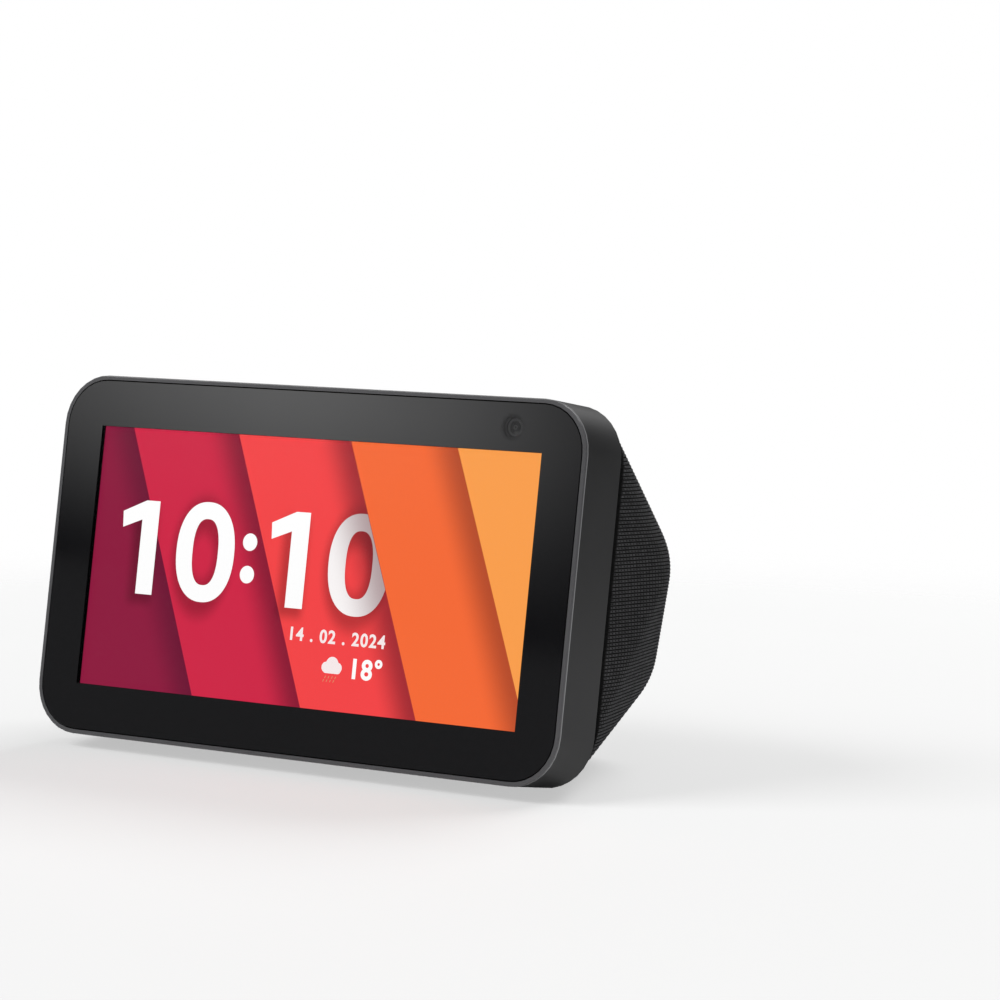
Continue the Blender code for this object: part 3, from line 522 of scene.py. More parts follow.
def flex_material():
    """Amber film of the ribbon cables, with copper tracks along it."""
    tree = Tree("flex")
    across = tree.dot(tree.place(), FACE_RIGHT / MM)
    wave = tree.math("SINE", tree.times(across, 2 * math.pi / 0.8))
    tracks = tree.ramp(wave, -0.1, 0.3)
    return tree.surface(
        Base_Color=tree.mix(tracks, "#a8631d", "#c98336"),
        Roughness=tree.ramp(wave, -1.0, 1.0, 0.34, 0.46),
        Coat_Weight=0.5,
        Normal=tree.bump(tracks, 0.3, 0.02),
    )


def lens_material():
    """Coated lens glass: deep blue-black, with a painted violet reflection of the coating at an
    angle.
    """
    tree = Tree("lens")
    # painted reflection: the base colour turns violet towards grazing angles
    facing = tree.add("ShaderNodeLayerWeight", {"Blend": 0.35}).outputs["Facing"]
    return tree.surface(
        Base_Color=tree.mix(facing, "#0a0c14", "#2b2238"),
        Roughness=0.05,
        Specular_IOR_Level=0.8,
        Coat_Weight=1.0,
        Coat_Roughness=0.02,
    )


def wire_material(name, colour):
    """Soft insulation of a wire."""
    tree = Tree(name)
    cloud = tree.noise(400.0, 2.0)
    base = linear(colour)
    return tree.surface(
        Base_Color=tree.mix(cloud, base, tinted(base, 0.8)),
        Roughness=tree.ramp(cloud, 0.2, 0.8, 0.42, 0.5),
    )


def ink_material():
    """Pale ink printed on a button."""
    tree = Tree("button_ink")
    speckle = tree.noise(6000.0, 2.0, 0.7)
    base = linear("#b9b3b3")
    return tree.surface(
        Base_Color=tree.mix(tree.ramp(speckle, 0.35, 0.65), tinted(base, 0.82), base),
        Roughness=0.55,
    )


def figure_material(name, colour, shaded=False):
    """Lit figures of the picture: whiter upwards or, if shaded, darker near the sheet."""
    tree = Tree(name)
    across, up = tree.face_place_mm()
    if shaded:
        edge = SHEET_EDGES_MM[COVERING_SHEET]
        near = tree.ramp(sheet_place(tree, across, up), edge - SHEET_SHADOW_MM * 1.4, edge + 1.0)
        tone = tree.mix(near, colour, "#b09c9e")
    else:
        tone = tree.mix(tree.ramp(up, -20.0, 20.0), colour, "#ffffff")
    return tree.surface(
        Base_Color=UNLIT_COLOUR,
        Roughness=0.5,
        Specular_IOR_Level=0.05,
        Emission_Color=tone,
        Emission_Strength=1.0,
    )


def knit_holes_and_shade(tree, v, from_hole, side):
    """1 in the holes, partly the dark inside and partly painted shade, and as painted shade
    between the ribs of the sides and in the groove; 0 on the threads.
    """
    wave = tree.math("COSINE", tree.times(v, 2 * math.pi))
    # painted shade: dark lines between the ribs of the sides
    gap = tree.times(tree.ramp(wave, 0.15, -0.75), side)
    hole = tree.times(tree.ramp(from_hole, 0.38, 0.20), tree.ramp(side, 0.0, 1.0, 1.0, 0.85))
    # painted shade in the groove just behind the fabric's front edge
    depth = tree.math("SUBTRACT", tree.face_depth_mm(), side)
    edge = FABRIC_EDGE / MM
    groove = tree.ramp(depth, edge + GROOVE_MM[1], edge + GROOVE_MM[0])
    return tree.fold("MAXIMUM", (hole, gap, groove))


def thread_tone(tree, p, q, fuzz, side):
    """Greys that differ from thread to thread, fuzzy and patchy, with painted shade on the sides.
    """
    cell = tree.add("ShaderNodeCombineXYZ", {
        "X": tree.math("FLOOR", tree.math("ADD", p, 0.5)),
        "Y": tree.math("FLOOR", q),
    }).outputs[0]
    chance = tree.add("ShaderNodeTexWhiteNoise", {"Vector": cell},
                      noise_dimensions="3D").outputs["Value"]
    patches = tree.noise(45.0, 2.0)
    tone = tree.mix(chance, "#3c3c3d", "#6c6c6e")
    tone = tree.mix(tree.ramp(fuzz, 0.4, 0.8, 0.0, 0.7), tone, "#7e7e80")
    tone = tree.mix(tree.ramp(patches, 0.35, 0.65, 0.0, 0.2), tone, "#2c2c2d")
    # painted shade: threads painted darker where the fabric faces sideways
    return tree.mix(tree.times(side, 0.55), tone, "#1e1e1f")


def fabric_material():
    """Knitted mesh: grey threads crossing on the slant, and dark holes between them, partly the
    dark inside and partly painted shade.

    On the sides the rows close up, so that they show as ribs with lines of painted shade between
    them.
    The slanted coordinates p and q are both whole numbers at a hole.
    """
    tree = Tree("fabric")
    weave = tree.add("ShaderNodeUVMap", uv_map="weave").outputs[0]
    split = tree.add("ShaderNodeSeparateXYZ", {"Vector": weave})
    u, v = split.outputs["X"], split.outputs["Y"]
    p = tree.math("ADD", u, v)
    q = tree.math("SUBTRACT", u, v)
    off_p = tree.math("SUBTRACT", p, tree.math("ROUND", p))
    off_q = tree.math("SUBTRACT", q, tree.math("ROUND", q))
    normal = tree.add("ShaderNodeSeparateXYZ", {
        "Vector": tree.add("ShaderNodeTexCoord").outputs["Normal"],
    })
    side = tree.ramp(tree.math("ABSOLUTE", normal.outputs["X"]), 0.55, 0.85)
    dark = knit_holes_and_shade(tree, v, tree.length(off_p, off_q), side)
    fuzz = tree.noise(2600.0, 3.0, 0.65)
    twist = tree.math("SINE", tree.times(tree.math("ADD", off_p, off_q), 40.0))
    height = tree.math("SUBTRACT", tree.times(twist, 0.12), dark)
    height = tree.math("ADD", height, tree.times(fuzz, 0.25))
    # painted shade: holes, lines between the side ribs and the groove are mixed towards near
    # black
    return tree.surface(
        Base_Color=tree.mix(dark, thread_tone(tree, p, q, fuzz, side), "#030303"),
        Roughness=0.85,
        Specular_IOR_Level=0.15,
        Sheen_Weight=tree.ramp(dark, 0.0, 1.0, 0.16, 0.0),
        Sheen_Roughness=0.4,
        Sheen_Tint=(0.6, 0.6, 0.62, 1.0),
        Normal=tree.bump(height, 0.9, 0.12),
    )


def floor_material():
    """White floor, half clear to the camera near the object and all clear far from it.

    To every other ray it is whole near the object, and clear from 0.45 m on.
    """
    tree = Tree("floor")
    place = tree.place()
    distance = tree.length(tree.dot(place, (1, 0, 0)), tree.dot(place, (0, 1, 0)))
    surface = tree.principled(
        Base_Color=(0.88, 0.88, 0.88, 1),
        Roughness=tree.ramp(tree.noise(8.0, 2.0), 0.3, 0.7, 0.65, 0.75),
        Specular_IOR_Level=0.2,
    )
    seen = tree.add("ShaderNodeLightPath").outputs["Is Camera Ray"]
    near = tree.times(tree.ramp(distance, 0.10, 0.75, 0.5, 1.0), seen)
    fade = tree.math("MAXIMUM", near, tree.ramp(distance, 0.15, 0.45))
    return tree.finish(tree.mix_shaders(fade, surface, tree.clear()))


def card_material(strength):
    """Studio card that glows most in its middle and fades to its edges."""
    tree = Tree("card")
    place = tree.add("ShaderNodeTexCoord").outputs["Generated"]
    split = tree.add("ShaderNodeSeparateXYZ", {"Vector": place})
    product = strength
    for axis in ("X", "Y"):
        centred = tree.math("ABSOLUTE", tree.math("SUBTRACT", split.outputs[axis], 0.5))
        product = tree.times(product, tree.ramp(centred, 0.5, 0.0))
    glow = tree.add("ShaderNodeEmission", {"Color": (1, 1, 1, 1), "Strength": product})
    return tree.finish(glow.outputs[0])


# ---- making pieces ----
def link(item):
    bpy.context.scene.collection.objects.link(item)
    return item


def mesh_from(bm, name):
    """The bmesh's shape as a new mesh. The bmesh is freed."""
    mesh = bpy.data.meshes.new(name)
    bm.to_mesh(mesh)
    bm.free()
    return mesh


def mesh_object(name, mesh, material):
    item = link(bpy.data.objects.new(name, mesh))
    item.data.materials.clear()
    item.data.materials.append(material)
    return item


def smooth_by_angle(item):
    item.data.shade_smooth()
    item.data.set_sharp_from_angle(angle=math.radians(30))


def flat_piece(name, outlines_mm, thickness_mm, matrix, material):
    """A flat plate from closed outlines; an outline inside another is a hole."""
    curve = bpy.data.curves.new(name, "CURVE")
    curve.dimensions = "2D"
    curve.fill_mode = "BOTH"
    curve.extrude = thickness_mm * MM / 2
    for outline in outlines_mm:
        spline = curve.splines.new("POLY")
        spline.points.add(len(outline) - 1)
        for point, (x, y) in zip(spline.points, outline):
            point.co = (x * MM, y * MM, 0, 1)
        spline.use_cyclic_u = True
    return curve_to_mesh(name, curve, matrix, material)


def curve_to_mesh(name, curve, matrix, material):
    """The curve's evaluated shape as a welded mesh piece, placed by matrix."""
    source = link(bpy.data.objects.new(name + "_curve", curve))
    bpy.context.view_layer.update()
    graph = bpy.context.evaluated_depsgraph_get()
    mesh = bpy.data.meshes.new_from_object(source.evaluated_get(graph))
    bpy.data.objects.remove(source)
    bm = bmesh.new()
    bm.from_mesh(mesh)
    bmesh.ops.remove_doubles(bm, verts=bm.verts, dist=1e-7)
    bm.to_mesh(mesh)
    bm.free()
    mesh.transform(matrix)
    mesh.name = name
    item = mesh_object(name, mesh, material)
    smooth_by_angle(item)
    return item


def oval(centre, radii, steps=56, power=2.0):
    """Outline of an oval; a power above 2 makes it squarer."""
    points = []
    for step in range(steps):
        angle = 2 * math.pi * step / steps
        c, s = math.cos(angle), math.sin(angle)
        x = math.copysign(abs(c) ** (2 / power), c)
        y = math.copysign(abs(s) ** (2 / power), s)
        points.append((centre[0] + radii[0] * x, centre[1] + radii[1] * y))
    return points


def stroke(start, end, width, steps=8):
    """Outline of a straight stroke with round ends."""
    along = math.atan2(end[1] - start[1], end[0] - start[0])
    points = []
    for centre, turn in ((end, -math.pi / 2), (start, math.pi / 2)):
        for step in range(steps + 1):
            angle = along + turn + math.pi * step / steps
            points.append((centre[0] + width / 2 * math.cos(angle),
                           centre[1] + width / 2 * math.sin(angle)))
    return points


# ---- the lit picture ----
def picture_matrix(layer=0):
    """Places an outline on the picture; a higher layer lies nearer to the glass."""
    depth = (PICTURE_DEPTH_MM - layer * 2 * PICTURE_THICKNESS_MM) * MM
    return plane_matrix(face_point(0, depth, 0), FACE_RIGHT, FACE_UP)


def one_outline(right):
    """A bold figure one whose stem ends at right."""
    left = right - ONE_STEM_MM
    tip = left - 5.9
    return [
        (right, DIGIT_LOW_MM), (right, DIGIT_HIGH_MM), (right - 4.0, DIGIT_HIGH_MM),
        (tip, DIGIT_HIGH_MM - 2.9), (tip + 0.3, DIGIT_HIGH_MM - 6.7),
        (left, DIGIT_HIGH_MM - 4.6), (left, DIGIT_LOW_MM),
    ]


def show_on_screen(piece):
    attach(piece, "chassis")


def picture_piece(name, outlines_mm, material, layer=0):
    """A flat piece of the picture, in front of the panel."""
    piece = flat_piece(name, outlines_mm, PICTURE_THICKNESS_MM, picture_matrix(layer), material)
    show_on_screen(piece)
    return piece


def make_ones(material):
    for index, right in enumerate(ONES_MM):
        picture_piece(f"clock_one_{index + 1}", [one_outline(right)], material)


def cut_to_sheet(piece):
    """Cuts a figure off along the slanted edge of the sheet that covers it."""
    edge = SHEET_EDGES_MM[COVERING_SHEET] * MM
    bm = bmesh.new()
    bm.from_mesh(piece.data)
    cut = bmesh.ops.bisect_plane(
        bm, geom=bm.verts[:] + bm.edges[:] + bm.faces[:],
        plane_co=face_point(edge, 0, 0),
        plane_no=FACE_RIGHT + FACE_UP * SHEET_SLANT, clear_outer=True)
    rim = [e for e in cut["geom_cut"] if isinstance(e, bmesh.types.BMEdge)]
    bmesh.ops.holes_fill(bm, edges=rim)
    bm.to_mesh(piece.data)
    bm.free()
    smooth_by_angle(piece)


def make_zeros(plain, shaded):
    """The two zeros. The second is cut off by the covering sheet, and in its shadow."""
    for index, middle in enumerate(ZEROS_MM):
        outer = oval((middle, DIGIT_MIDDLE_MM), ZERO_OUTER_MM, 72, 2.25)
        inner = oval((middle, DIGIT_MIDDLE_MM), ZERO_INNER_MM, 72, 2.5)
        piece = picture_piece(f"clock_zero_{index + 1}", [outer, inner],
                              shaded if index else plain)
        if index:
            cut_to_sheet(piece)


def make_colon(material):
    dots = [oval((COLON_X_MM, up), (COLON_RADIUS_MM,) * 2) for up in COLON_UP_MM]
    picture_piece("clock_colon", dots, material)


def text_piece(name, body, size_mm, up_mm, weight_mm, spacing, material):
    """A small line of figures, in the built-in font made bolder by weight."""
    curve = bpy.data.curves.new(name, "FONT")
    curve.body = body
    curve.size = size_mm * MM
    curve.align_x = "RIGHT"
    curve.space_character = spacing
    curve.offset = weight_mm * MM
    curve.extrude = PICTURE_THICKNESS_MM * MM / 2
    curve.resolution_u = 6
    matrix = picture_matrix() @ Matrix.Translation((RIGHT_EDGE_MM * MM, up_mm * MM, 0))
    show_on_screen(curve_to_mesh(name, curve, matrix, material))


def make_cloud(material, rain):
    """Weather sign: a cloud of three discs on a rounded bar, and slanted rain."""
    x, y = CLOUD_MM
    for index, (dx, dy, radius) in enumerate(CLOUD_BUMPS_MM):
        disc = oval((x + dx, y + dy), (radius, radius), 32)
        picture_piece(f"cloud_{index + 1}", [disc], material, index + 1)
    bar = stroke((x - 1.7, y - 0.65), (x + 1.75, y - 0.65), 1.4)
    picture_piece("cloud_base", [bar], material)
    drops = []
    for column in range(4):
        for row in range(2):
            start = (x - 1.5 + column * 0.95 - row * 0.45, y - 2.0 - row * 0.85)
            drops.append(stroke(start, (start[0] - 0.25, start[1] - 0.45), 0.16))
    picture_piece("cloud_rain", drops, rain)


def make_picture():
    white = figure_material("figure_white", "#fdfdfd")
    shaded = figure_material("figure_shaded", "#f8f4f4", shaded=True)
    small = figure_material("figure_small", "#f6e9e9")
    rain = figure_material("figure_rain", "#e0906c")
    make_ones(white)
    make_zeros(white, shaded)
    make_colon(white)
    text_piece("date_figures", DATE_TEXT, DATE_SIZE_MM, DATE_UP_MM, 0.11, 1.15, small)
    text_piece("temperature_figures", WEATHER_TEXT, WEATHER_SIZE_MM, WEATHER_UP_MM, 0.18, 1.1,
               white)
    make_cloud(small, rain)


# ---- marks on the buttons ----
MARK_THICKNESS_MM = 0.04
MARK_LENGTH_MM = 2.9
MARK_WIDTH_MM = 0.36
MUTE_RADIUS_MM = 1.12
MUTE_SLASH_MM = 3.9


def button_matrix(node):
    """Places a mark on a button's top, with its X to the right and its Y to the back."""
    low, high = face_box(node)
    height = high[2] + MARK_THICKNESS_MM * MM / 4
    centre = face_point((low[0] + high[0]) / 2, (low[1] + high[1]) / 2, height)
    return plane_matrix(centre, FACE_RIGHT, FACE_BACK)


def add_mark(node, body, outlines, material):
    piece = flat_piece(node + "_mark", outlines, MARK_THICKNESS_MM, button_matrix(node),
                       material)
    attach(piece, body)


def plus_outline(length, width):
    """A plus sign with square ends."""
    a, b = length / 2, width / 2
    return [(a, b), (b, b), (b, a), (-b, a), (-b, b), (-a, b),
            (-a, -b), (-b, -b), (-b, -a), (b, -a), (b, -b), (a, -b)]


def ring_part(radius, width, middle, spread, steps=20):
    """Part of a ring about the origin, centred on the angle middle."""
    angles = [middle - spread + 2 * spread * step / steps for step in range(steps + 1)]
    outer, inner = radius + width / 2, radius - width / 2
    return ([(outer * math.cos(a), outer * math.sin(a)) for a in angles]
            + [(inner * math.cos(a), inner * math.sin(a)) for a in reversed(angles)])


def make_marks():
    """Plus, minus, and a ring with a slash through it."""
    ink = ink_material()
    add_mark("volume_up_button", "volume_up", [plus_outline(MARK_LENGTH_MM, MARK_WIDTH_MM)], ink)
    half = MARK_LENGTH_MM / 2
    minus = stroke((-half, 0), (half, 0), MARK_WIDTH_MM * 1.1)
    add_mark("volume_down_button", "volume_down", [minus], ink)
    thin = MARK_WIDTH_MM * 0.85
    reach = MUTE_SLASH_MM / 2 * math.sqrt(0.5)
    slash = stroke((-reach, -reach), (reach, reach), thin)
    halves = [ring_part(MUTE_RADIUS_MM, thin, math.radians(a), math.radians(72))
              for a in (135, -45)]
    add_mark("mic_camera_off_button", "mic_camera_off", [slash] + halves, ink)


# ---- camera under the glass ----
RING_DEPTH_MM = 1.25          # behind the front of the glass
RING_RADII_MM = ((2.0, 48), (1.5, 48), (0.55, 32), (0.25, 24))   # and the points of each


def make_camera_ring():
    """Flat pale rings round the camera's lens, with an arc beside them."""
    material = moulded_plastic("camera_ring_grey", "#e4e4e6", 0.35)
    outlines = [oval((0, 0), (radius, radius), steps) for radius, steps in RING_RADII_MM]
    outlines.append(ring_part(2.6, 0.5, math.pi, math.radians(55)))
    centre = face_point(CAMERA_MM[0] * MM, RING_DEPTH_MM * MM, CAMERA_MM[1] * MM)
    ring = flat_piece("camera_ring", outlines, 0.12,
                      plane_matrix(centre, FACE_RIGHT, FACE_UP), material)
    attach(ring, "chassis")


# ---- CAD nodes that stay ----
def smoothing_group():
    """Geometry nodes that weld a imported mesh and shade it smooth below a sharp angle."""
    group = bpy.data.node_groups.new("weld_and_smooth", "GeometryNodeTree")
    for way in ("INPUT", "OUTPUT"):
        group.interface.new_socket("Geometry", in_out=way, socket_type="NodeSocketGeometry")
    add = group.nodes.new
    start, end = add("NodeGroupInput"), add("NodeGroupOutput")
    weld = add("GeometryNodeMergeByDistance")
    weld.inputs["Distance"].default_value = 1e-6
    plain = add("GeometryNodeRemoveAttribute")
    plain.inputs["Name"].default_value = "custom_normal"
    faces = add("GeometryNodeSetShadeSmooth")
    faces.domain = "FACE"
    edges = add("GeometryNodeSetShadeSmooth")
    edges.domain = "EDGE"
    edges.inputs["Shade Smooth"].default_value = False
    angle = add("GeometryNodeInputMeshEdgeAngle")
    sharp = add("FunctionNodeCompare")
    sharp.operation = "GREATER_THAN"
    sharp.inputs[1].default_value = math.radians(32)
    join = group.links.new
    join(start.outputs[0], weld.inputs["Geometry"])
    join(weld.outputs[0], plain.inputs[0])
    join(plain.outputs[0], faces.inputs["Geometry"])
    join(faces.outputs[0], edges.inputs["Geometry"])
    join(angle.outputs["Unsigned Angle"], sharp.inputs[0])
    join(sharp.outputs[0], edges.inputs["Selection"])
    join(edges.outputs[0], end.inputs[0])
    return group


def slot_materials():
    """One finished material for each of the record's slots that CAD nodes use."""
    return {
        "glass": glass_material(),
        "screen": screen_material(),
        "band_plastic": moulded_plastic("band_plastic", "#232324", 0.42, lip=True),
        "button_plastic": moulded_plastic("button_plastic", "#2a2a2b", 0.42),
        "inner_plastic": moulded_plastic("inner_plastic", "#1b1b1c", 0.55),
        "rubber": rubber_material(),
        "steel": brushed_metal("steel", "#b9bcc0", 0.34),
        "magnet": brushed_metal("magnet", "#c9c8c2", 0.22, 300.0),
        "board": board_material(),
        "paper": paper_material(),
        "copper": brushed_metal("copper", "#d98c5e", 0.32),
        "flex": flex_material(),
        "lens": lens_material(),
        "red_wire": wire_material("red_wire", "#b01818"),
        "black_wire": wire_material("black_wire", "#1a1a1a"),
    }


def finish_cad_nodes():
    """Gives every CAD node its slot's material and smooth shading."""
    materials = slot_materials()
    smoothing = smoothing_group()
    for node in NODES.values():
        slot = node.data.materials[0].name.split(".")[0]
        if slot in materials:
            node.material_slots[0].material = materials[slot]
        shading = node.modifiers.new("weld_and_smooth", "NODES")
        shading.node_group = smoothing
        weighted = node.modifiers.new("flat_faces_stay_flat", "WEIGHTED_NORMAL")
        weighted.keep_sharp = True


# ---- fabric ----
def hull_tree(node):
    """Search tree on the convex hull of a CAD node."""
    bm = bmesh.new()
    for point in np.unique(vertices(node).round(7), axis=0):
        bm.verts.new(point)
    bmesh.ops.convex_hull(bm, input=bm.verts, use_existing_faces=False)
    bm.normal_update()
    tree = BVHTree.FromBMesh(bm)
    bm.free()
    return tree


ROW_UP = Vector((0, math.sin(ROW_TILT), math.cos(ROW_TILT)))
ROW_BACK = Vector((0, math.cos(ROW_TILT), -math.sin(ROW_TILT)))
FABRIC_LOW, FABRIC_HIGH = face_box("fabric_cover")
FABRIC_EDGE = FABRIC_LOW[1]             # depth of its front edge


def row_outline(hull, level):
    """Where the plane of a row meets the hull, from the left round the back to the right."""
    start = row_centre(level)
    points = []
    for step in range(SWEEP_STEPS + 1):
        angle = math.pi * (step / SWEEP_STEPS - 0.5) * 0.9995     # just short of sideways
        direction = ROW_BACK * math.cos(angle) + FACE_RIGHT * math.sin(angle)
        hit = hull.ray_cast(start, direction)[0]
        if hit is not None:
            points.append(hit)
    return np.array(points)


def row_centre(level):
    """Point just behind the fabric's front edge, in the plane of the row at this level."""
    front = face_point(0, FABRIC_EDGE + 0.06 * MM, 0)
    rise = (level - front.dot(ROW_UP)) / FACE_UP.dot(ROW_UP)
    return front + FACE_UP * rise


def resample(points, spacing):
    """Points at even spacing along a row from its middle, run on forwards past its ends."""
    steps = np.linalg.norm(np.diff(points, axis=0), axis=1)
    length = np.concatenate([[0], np.cumsum(steps)])
    middle = np.interp(0, points[:, 0], length)
    wanted = middle + spacing * np.arange(-SIDE_COLUMNS, SIDE_COLUMNS + 1)
    row = np.stack([np.interp(wanted, length, points[:, k]) for k in range(3)], axis=1)
    past = np.maximum(0, -wanted) + np.maximum(0, wanted - length[-1])
    return row - past[:, None] * np.array(FACE_BACK)


def sheet_normals(grid):
    across = np.gradient(grid, axis=1)
    down = np.gradient(grid, axis=0)
    normals = np.cross(across, down)
    return normals / np.maximum(np.linalg.norm(normals, axis=2, keepdims=True), 1e-12)


def relax(grid, rounds):
    """Evens out the facets of the CAD shape, as tight fabric does."""
    for _ in range(rounds):
        for axis in (0, 1):
            before = np.roll(grid, 1, axis)
            after = np.roll(grid, -1, axis)
            blended = grid * 0.5 + (before + after) * 0.25
            inner = [slice(None), slice(None)]
            inner[axis] = slice(1, -1)
            grid[tuple(inner)] = blended[tuple(inner)]
    return grid


def woven(grid, rib):
    """Raises the threads and sinks the holes: every other point of the grid is a hole.

    Where rib is 1, not 0, every other row of the sides rises too, as a rib.
    """
    normals = sheet_normals(grid)
    rows, columns = np.indices(grid.shape[:2])
    columns = columns - grid.shape[1] // 2
    hole = (rows + columns) % 2 == 0
    lift = np.where(hole, -HOLE_SINK_MM, THREAD_RISE_MM)
    side = np.abs(normals[..., 0]) * rib
    lift = lift + side * RIB_RISE_MM * np.where(rows % 2 == 0, 1.0, -1.0)
    depth = ((grid - np.array(FACE_ORIGIN)) @ np.array(FACE_BACK) - FABRIC_EDGE) / MM
    dip = np.clip((GROOVE_MM[1] - depth) / (GROOVE_MM[1] - GROOVE_MM[0]), 0, 1)
    lift = lift - dip ** 2 * GROOVE_SINK_MM
    raised = grid + normals * lift[..., None] * MM
    coordinates = np.stack([columns / 2, rows / 2], axis=2)
    return raised, coordinates


def grid_triangles(shape):
    """Two triangles a cell, split so that the threads, not the holes, are joined."""
    rows, columns = np.indices((shape[0] - 1, shape[1] - 1))
    a = rows * shape[1] + columns
    b, c, d = a + 1, a + shape[1] + 1, a + shape[1]
    hole_first = ((rows + columns - shape[1] // 2) % 2 == 0)[..., None]
    one = np.where(hole_first, np.stack([a, b, d], 2), np.stack([a, b, c], 2))
    two = np.where(hole_first, np.stack([b, c, d], 2), np.stack([a, c, d], 2))
    return np.concatenate([one.reshape(-1, 3), two.reshape(-1, 3)])


def sheet_mesh(points, coordinates, triangles):
    """A bmesh of the sheet, with its weave coordinates as a UV layer."""
    mesh = bpy.data.meshes.new("sheet")
    mesh.from_pydata(points.reshape(-1, 3), [], triangles.tolist())
    layer = mesh.uv_layers.new(name="weave")
    corners = np.empty(len(mesh.loops), dtype=np.int32)
    mesh.loops.foreach_get("vertex_index", corners)
    layer.data.foreach_set("uv", coordinates.reshape(-1, 2)[corners].astype(np.float32).ravel())
    bm = bmesh.new()
    bm.from_mesh(mesh)
    bpy.data.meshes.remove(mesh)
    return bm


def keep_side(bm, point, normal):
    """Cuts the sheet with a plane and keeps what lies on the normal's side."""
    bmesh.ops.bisect_plane(bm, geom=bm.verts[:] + bm.edges[:] + bm.faces[:], dist=1e-7,
                           plane_co=point, plane_no=normal, clear_inner=True)


def row_sheet(hull):
    """The sleeve of rows round the sides and the back."""
    top = face_point(0, FABRIC_EDGE + 0.1 * MM, FABRIC_HIGH[2] - 0.12 * MM).dot(ROW_UP)
    count = int((top - UNDER_LEVEL_MM * MM) / (ROW_PITCH_MM * MM)) + 1
    levels = top - ROW_PITCH_MM * MM * np.arange(count)
    rows = [resample(row_outline(hull, level), HOLE_PITCH_MM * MM / 2) for level in levels]
    grid = relax(np.array(rows), RELAX_ROUNDS)
    raised, coordinates = woven(grid, 1.0)
    bm = sheet_mesh(raised, coordinates, grid_triangles(grid.shape))
    return bm, levels[-1]


def under_sheet(hull, level):
    """The panel below, knitted front to back, up to just above the last row."""
    low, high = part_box("fabric_cover")
    half = HOLE_PITCH_MM * MM / 2
    columns = int(high.x / half) + 1
    count = int((high.y - low.y) / (UNDER_ROW_PITCH_MM * MM)) + 1
    ys = low.y + UNDER_ROW_PITCH_MM * MM * np.arange(count)
    grid = np.zeros((count, 2 * columns + 1, 3))
    found = np.zeros(grid.shape[:2], bool)
    for row, y in enumerate(ys):
        for column in range(2 * columns + 1):
            x = (column - columns) * half
            hit = hull.ray_cast(Vector((x, y, low.z - 0.01)), Vector((0, 0, 1)))[0]
            found[row, column] = hit is not None
            grid[row, column] = hit if hit is not None else (x, y, low.z)
    raised, coordinates = woven(grid, 0.0)
    normals = sheet_normals(grid)
    raised = grid + (raised - grid) * np.sign(-normals[..., 2:3])
    triangles = grid_triangles(grid.shape)
    whole = found.reshape(-1)[triangles].all(axis=1)
    bm = sheet_mesh(raised, coordinates, triangles[whole])
    loose = [v for v in bm.verts if not v.link_faces]
    bmesh.ops.delete(bm, geom=loose, context="VERTS")
    bmesh.ops.reverse_faces(bm, faces=bm.faces[:])
    keep_side(bm, ROW_UP * (level + 0.15 * MM), -ROW_UP)
    return bm


def opening_outline(node, first, second, gap):
    """Outline of a node seen along the third axis, widened by gap, as 2D points."""
    points = [Vector((p[first], p[second])) for p in vertices(node)]
    hull = [points[i] for i in convex_hull_2d(points)]
    centre = sum(hull, Vector((0, 0))) / len(hull)
    outline = []
    for point in hull:
        if not outline or (point - outline[-1]).length > 0.3 * MM:
            outline.append(point)
    return [p + (p - centre).normalized() * gap for p in outline], centre


def outward_plane(a, b, centre, first, second):
    """Plane through an outline's edge from a to b, facing away from the centre."""
    edge = b - a
    outward = Vector((edge.y, -edge.x))
    if outward.dot(a - centre) < 0:
        outward = -outward
    point, normal = Vector((0, 0, 0)), Vector((0, 0, 0))
    point[first], point[second] = a
    normal[first], normal[second] = outward.normalized()
    return point, normal


def cut_opening(bm, node, first, second, gap):
    """Cuts the sheet to a node's outline and drops what lies inside it."""
    outline, centre = opening_outline(node, first, second, gap)
    edges = list(zip(outline, outline[1:] + outline[:1]))
    reach = max((p - centre).length for p in outline) + 2 * MM
    third = 3 - first - second
    sign = 1 if third == 1 else -1          # an opening is at the back or underneath
    far = np.median([v.co[third] for v in bm.verts])

    def nearby():
        return [f for f in bm.faces
                if (Vector((f.verts[0].co[first], f.verts[0].co[second])) - centre).length < reach
                and (f.verts[0].co[third] - far) * sign > 0]

    def is_inside(face):
        middle = face.calc_center_median()
        place = Vector((middle[first], middle[second]))
        return all((b - a).cross(place - a) * (b - a).cross(centre - a) > 0 for a, b in edges)

    for a, b in edges:
        point, normal = outward_plane(a, b, centre, first, second)
        faces = nearby()
        parts = set(faces)
        for face in faces:
            parts.update(face.edges)
            parts.update(face.verts)
        bmesh.ops.bisect_plane(bm, geom=list(parts), dist=1e-7, plane_co=point, plane_no=normal)
    bmesh.ops.delete(bm, geom=[f for f in nearby() if is_inside(f)], context="FACES")


def turn_hems(bm):
    """Turns every open edge of the sheet inwards, as a folded hem."""
    bm.normal_update()
    rims = [e for e in bm.edges if e.is_boundary]
    inward = {v: v.normal.copy() for e in rims for v in e.verts}
    turned = bmesh.ops.extrude_edge_only(bm, edges=rims)
    fresh = [g for g in turned["geom"] if isinstance(g, bmesh.types.BMVert)]
    for vert in fresh:
        source = next((e.other_vert(vert) for e in vert.link_edges
                       if e.other_vert(vert) in inward), None)
        if source is not None:
            vert.co -= inward[source] * HEM_MM * MM


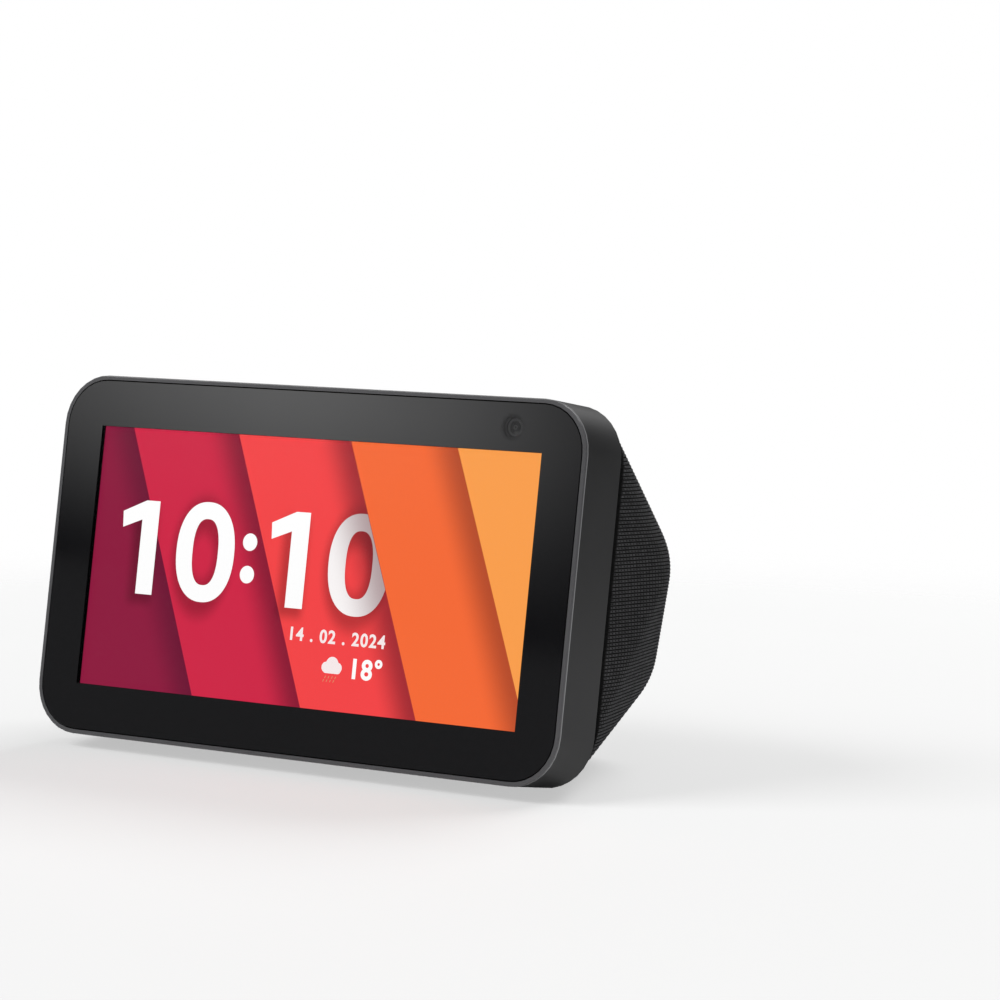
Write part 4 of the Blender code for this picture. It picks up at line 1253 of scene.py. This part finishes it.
def make_fabric():
    """Knitted cover stretched over the back, in place of the plain CAD fabric."""
    hull = hull_tree("fabric_cover")
    sleeve, level = row_sheet(hull)
    front = face_point(0, FABRIC_EDGE + FABRIC_START_MM * MM, 0)
    keep_side(sleeve, front, FACE_BACK)
    cut_opening(sleeve, "port_trim", 0, 2, 0.25 * MM)
    turn_hems(sleeve)
    under = under_sheet(hull, level)
    keep_side(under, front, FACE_BACK)
    cut_opening(under, "base_plate", 0, 1, 0.3 * MM)
    turn_hems(under)
    part = mesh_from(under, "under_part")
    sleeve.from_mesh(part)
    bpy.data.meshes.remove(part)
    cover = mesh_object("knitted_cover", mesh_from(sleeve, "knitted_cover"), fabric_material())
    cover.data.shade_smooth()
    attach(cover, "chassis")
    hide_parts("fabric_cover")


# ---- studio ----
def aim(item, place, target, roll=0.0):
    item.location = place
    turn = (Vector(target) - Vector(place)).to_track_quat("-Z", "Y").to_matrix().to_4x4()
    item.rotation_euler = (turn @ Matrix.Rotation(roll, 4, "Z")).to_euler()


def make_floor():
    bm = bmesh.new()
    bmesh.ops.create_circle(bm, cap_ends=True, segments=96, radius=FLOOR_RADIUS)
    mesh_object("floor", mesh_from(bm, "floor"), floor_material())


def add_light(name, place, target, size, watts):
    lamp = bpy.data.lights.new(name, "AREA")
    lamp.shape = "RECTANGLE"
    lamp.size, lamp.size_y = size
    lamp.energy = watts
    item = link(bpy.data.objects.new(name, lamp))
    aim(item, place, target)


def add_card(name, place, target, size, strength):
    """A glowing card whose soft edges show in the glass."""
    bm = bmesh.new()
    bmesh.ops.create_grid(bm, x_segments=1, y_segments=1, size=0.5)
    mesh = mesh_from(bm, name)
    mesh.transform(Matrix.Diagonal((*size, 1, 1)))
    card = mesh_object(name, mesh, card_material(strength))
    aim(card, place, target)
    card.visible_diffuse = False


def make_world():
    """White to the camera, soft grey to everything else."""
    world = bpy.data.worlds.new("studio")
    bpy.context.scene.world = world
    world.use_nodes = True
    nodes, links = world.node_tree.nodes, world.node_tree.links
    nodes.clear()
    out = nodes.new("ShaderNodeOutputWorld")
    mix = nodes.new("ShaderNodeMixShader")
    path = nodes.new("ShaderNodeLightPath")
    links.new(path.outputs["Is Camera Ray"], mix.inputs[0])
    for socket, strength in ((1, WORLD_LIGHT), (2, WORLD_SEEN)):
        background = nodes.new("ShaderNodeBackground")
        background.inputs["Color"].default_value = (1, 1, 1, 1)
        background.inputs["Strength"].default_value = strength
        links.new(background.outputs[0], mix.inputs[socket])
    links.new(mix.outputs[0], out.inputs["Surface"])


def camera_place():
    a, e = math.radians(CAMERA_AZIMUTH), math.radians(CAMERA_ELEVATION)
    back = Vector((math.sin(a) * math.cos(e), -math.cos(a) * math.cos(e), math.sin(e)))
    return Vector(CAMERA_AIM) + back * CAMERA_DISTANCE


def mirrored(point, normal, distance):
    """Where a thing must stand for the camera to see it mirrored at a point."""
    view = (point - camera_place()).normalized()
    return point + view.reflect(normal) * distance


def make_studio():
    make_floor()
    make_world()
    middle = (0, 0, 0.045)
    add_light("key", place=(-0.75, -0.85, 1.05), target=middle, size=(0.9, 0.7), watts=14)
    add_light("back_top", place=(0.25, 0.95, 1.15), target=middle, size=(1.0, 0.6), watts=15)
    glow = face_point(-0.013, 0, 0.047)
    add_card("glass_card", mirrored(glow, FACE_BACK, CARD_DISTANCE), glow, (0.44, 0.22),
             CARD_STRENGTH)
    add_light("low_right", place=(0.75, -0.35, 0.10), target=(0.07, -0.02, 0.0),
              size=(0.35, 0.14), watts=1.2)


def make_camera():
    data = bpy.data.cameras.new("camera")
    data.sensor_width = 36
    data.lens = CAMERA_LENS
    item = link(bpy.data.objects.new("camera", data))
    aim(item, camera_place(), Vector(CAMERA_AIM), math.radians(CAMERA_ROLL))
    bpy.context.scene.camera = item


# ---- build ----
def build():
    bpy.context.scene.view_settings.view_transform = "Standard"
    finish_cad_nodes()
    make_picture()
    make_marks()
    make_camera_ring()
    make_fabric()
    make_studio()
    make_camera()


build()
